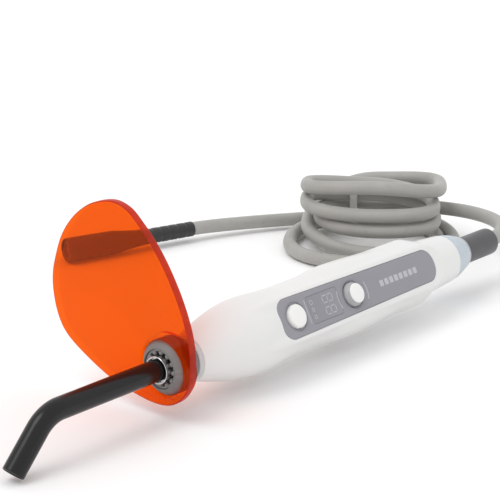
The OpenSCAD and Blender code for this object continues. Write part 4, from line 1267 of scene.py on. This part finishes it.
def plug_body():
    """turned grip with shallow lengthwise flutes in its middle"""
    n, m = 144, 60
    verts, faces, rows = [], [], []
    prof = rounded([(4.6, 41), (5.35, 41), (5.5, 41.5), (5.55, 44.0), (5.7, 60), (5.7, 63.3), (4.6, 63.3)], [0.05, 0.2, 0.3, 0, 0, 0.25, 0.05], 3)
    fine = []
    for i in range(len(prof)):
        a, b = prof[i], prof[(i + 1) % len(prof)]
        L = math.hypot(a[0] - b[0], a[1] - b[1])
        k = max(1, int(L / 0.5)) if i < len(prof) - 1 and a[0] > 5.4 and b[0] > 5.4 else 1
        fine += [(a[0] + (b[0] - a[0]) * j / k, a[1] + (b[1] - a[1]) * j / k) for j in range(k)]
    for r, s in fine:
        rows.append(len(verts))
        w = max(0.0, min(1.0, (s - 45) / 1.2)) * max(0.0, min(1.0, (58.5 - s) / 1.2)) if r > 5.4 else 0.0
        for j in range(n):
            a = 2 * math.pi * j / n
            rr = r - 0.14 * w * (0.5 - 0.5 * math.cos(24 * a)) ** 2
            verts.append((s, rr * math.cos(a), rr * math.sin(a)))
    R = len(rows)
    for i in range(R):
        a, b = rows[i], rows[(i + 1) % R]
        for j in range(n):
            k = (j + 1) % n
            faces.append((a + j, a + k, b + k, b + j))
    return build("plug_grip", verts, faces, GF, True, 35)


pb = plug_body()
put(pb, "handpiece", M["plug"], ["plug_body"])
pi = lathe("plug_face", rounded([(0, 41.05), (4.55, 41.05), (4.55, 63.35), (5.6, 63.35), (5.6, 66.6), (3.25, 66.6), (3.25, 55), (1.3, 55), (1.3, 48), (0, 48)],
                                [0, 0.1, 0.1, 0.1, 0.5, 0.25, 0.1, 0.05, 0.05, 0], 4), GF, 96)
put(pi, "handpiece", M["plug"], ["plug_insulator"])
pt = lathe("socket_contact", rounded([(2.95, 55.3), (3.2, 55.3), (3.2, 65), (2.95, 65)], 0.08, 2), GF, 64)
put(pt, "handpiece", M["contact"], ["plug_contact"])
pp = lathe("socket_pin", [(0, 48.2), (1.25, 48.2), (1.25, 55), (1.05, 55), (1.05, 63.9), (0.97, 64.25), (0.75, 64.5), (0.45, 64.6), (0, 64.6)], GF, 48)
put(pp, "handpiece", M["contact"], ["plug_pin"])

# ------------------------------------------------------------------ carried-over CAD nodes
for node, key in {
    "collimating_lens": "lens", "lens_retainer": "black", "led_emitter": "emitter", "led_board": "star", "heat_sink": "sink",
    "led_wires": "wire", "display_module": "case", "indicator_leds": "led", "start_plunger": "black", "mode_plunger": "black",
    "start_switch": "black", "mode_switch": "black", "main_board": "board", "board_screws": "steel", "controller_chip": "chip",
    "power_coil": "ferrite", "buzzer": "black", "board_connectors": "conn", "supply_wires": "wire_k", "cable_clamp": "black",
}.items():
    node_mat(node, M[key])

# ------------------------------------------------------------------ stage
fl = bpy.data.meshes.new("floor")
fl.from_pydata([(-9, -9, -0.0003), (9, -9, -0.0003), (9, 9, -0.0003), (-9, 9, -0.0003)], [], [(0, 1, 2, 3)])
floor = link("floor", fl)
mf = Mat("floor_pale")
nz = mf.noise(3.0, 2.0, 0.5)
p = mf.principled(Base_Color=mf.mix(mf.ramp(nz, 0.3, 0.7, 0.0, 1.0), (0.96, 0.96, 0.96, 1), (0.945, 0.945, 0.945, 1)), Roughness=0.9)
p.inputs["Specular IOR Level"].default_value = 0.1
floor.data.materials.append(mf.done(p))

world = bpy.data.worlds.new("soft_white")
bpy.context.scene.world = world
world.use_nodes = True
bg = world.node_tree.nodes["Background"]
bg.inputs[0].default_value = (1.0, 1.0, 1.0, 1.0)
bg.inputs[1].default_value = 0.94


def sun(name, towards, power, angle):
    d = bpy.data.lights.new(name, "SUN")
    d.energy = power
    d.angle = math.radians(angle)
    o = bpy.data.objects.new(name, d)
    bpy.context.scene.collection.objects.link(o)
    o.rotation_euler = Vector(towards).to_track_quat("-Z", "Y").to_euler()
    return o


sun("key", (0.53, -0.18, -0.99), 0.75, 34)

# ------------------------------------------------------------------ camera
cd = bpy.data.cameras.new("view")
cd.lens = 122.4
cd.sensor_width = 36.0
cd.clip_start = 0.01
cd.clip_end = 20
cam = bpy.data.objects.new("view", cd)
bpy.context.scene.collection.objects.link(cam)
cx = Vector((0.66024, -0.75105, 0.0)).normalized()
cz = Vector((-0.71732, -0.63059, 0.29633)).normalized()
cy = cz.cross(cx).normalized()
cx = cy.cross(cz).normalized()
pos = A + Vector((-0.39998, -0.39261, 0.21717))
cam.matrix_world = Matrix(((cx.x, cy.x, cz.x, pos.x), (cx.y, cy.y, cz.y, pos.y), (cx.z, cy.z, cz.z, pos.z), (0, 0, 0, 1)))
bpy.context.scene.camera = cam
bpy.context.scene.view_settings.view_transform = "Standard"
bpy.context.scene.view_settings.look = "None"
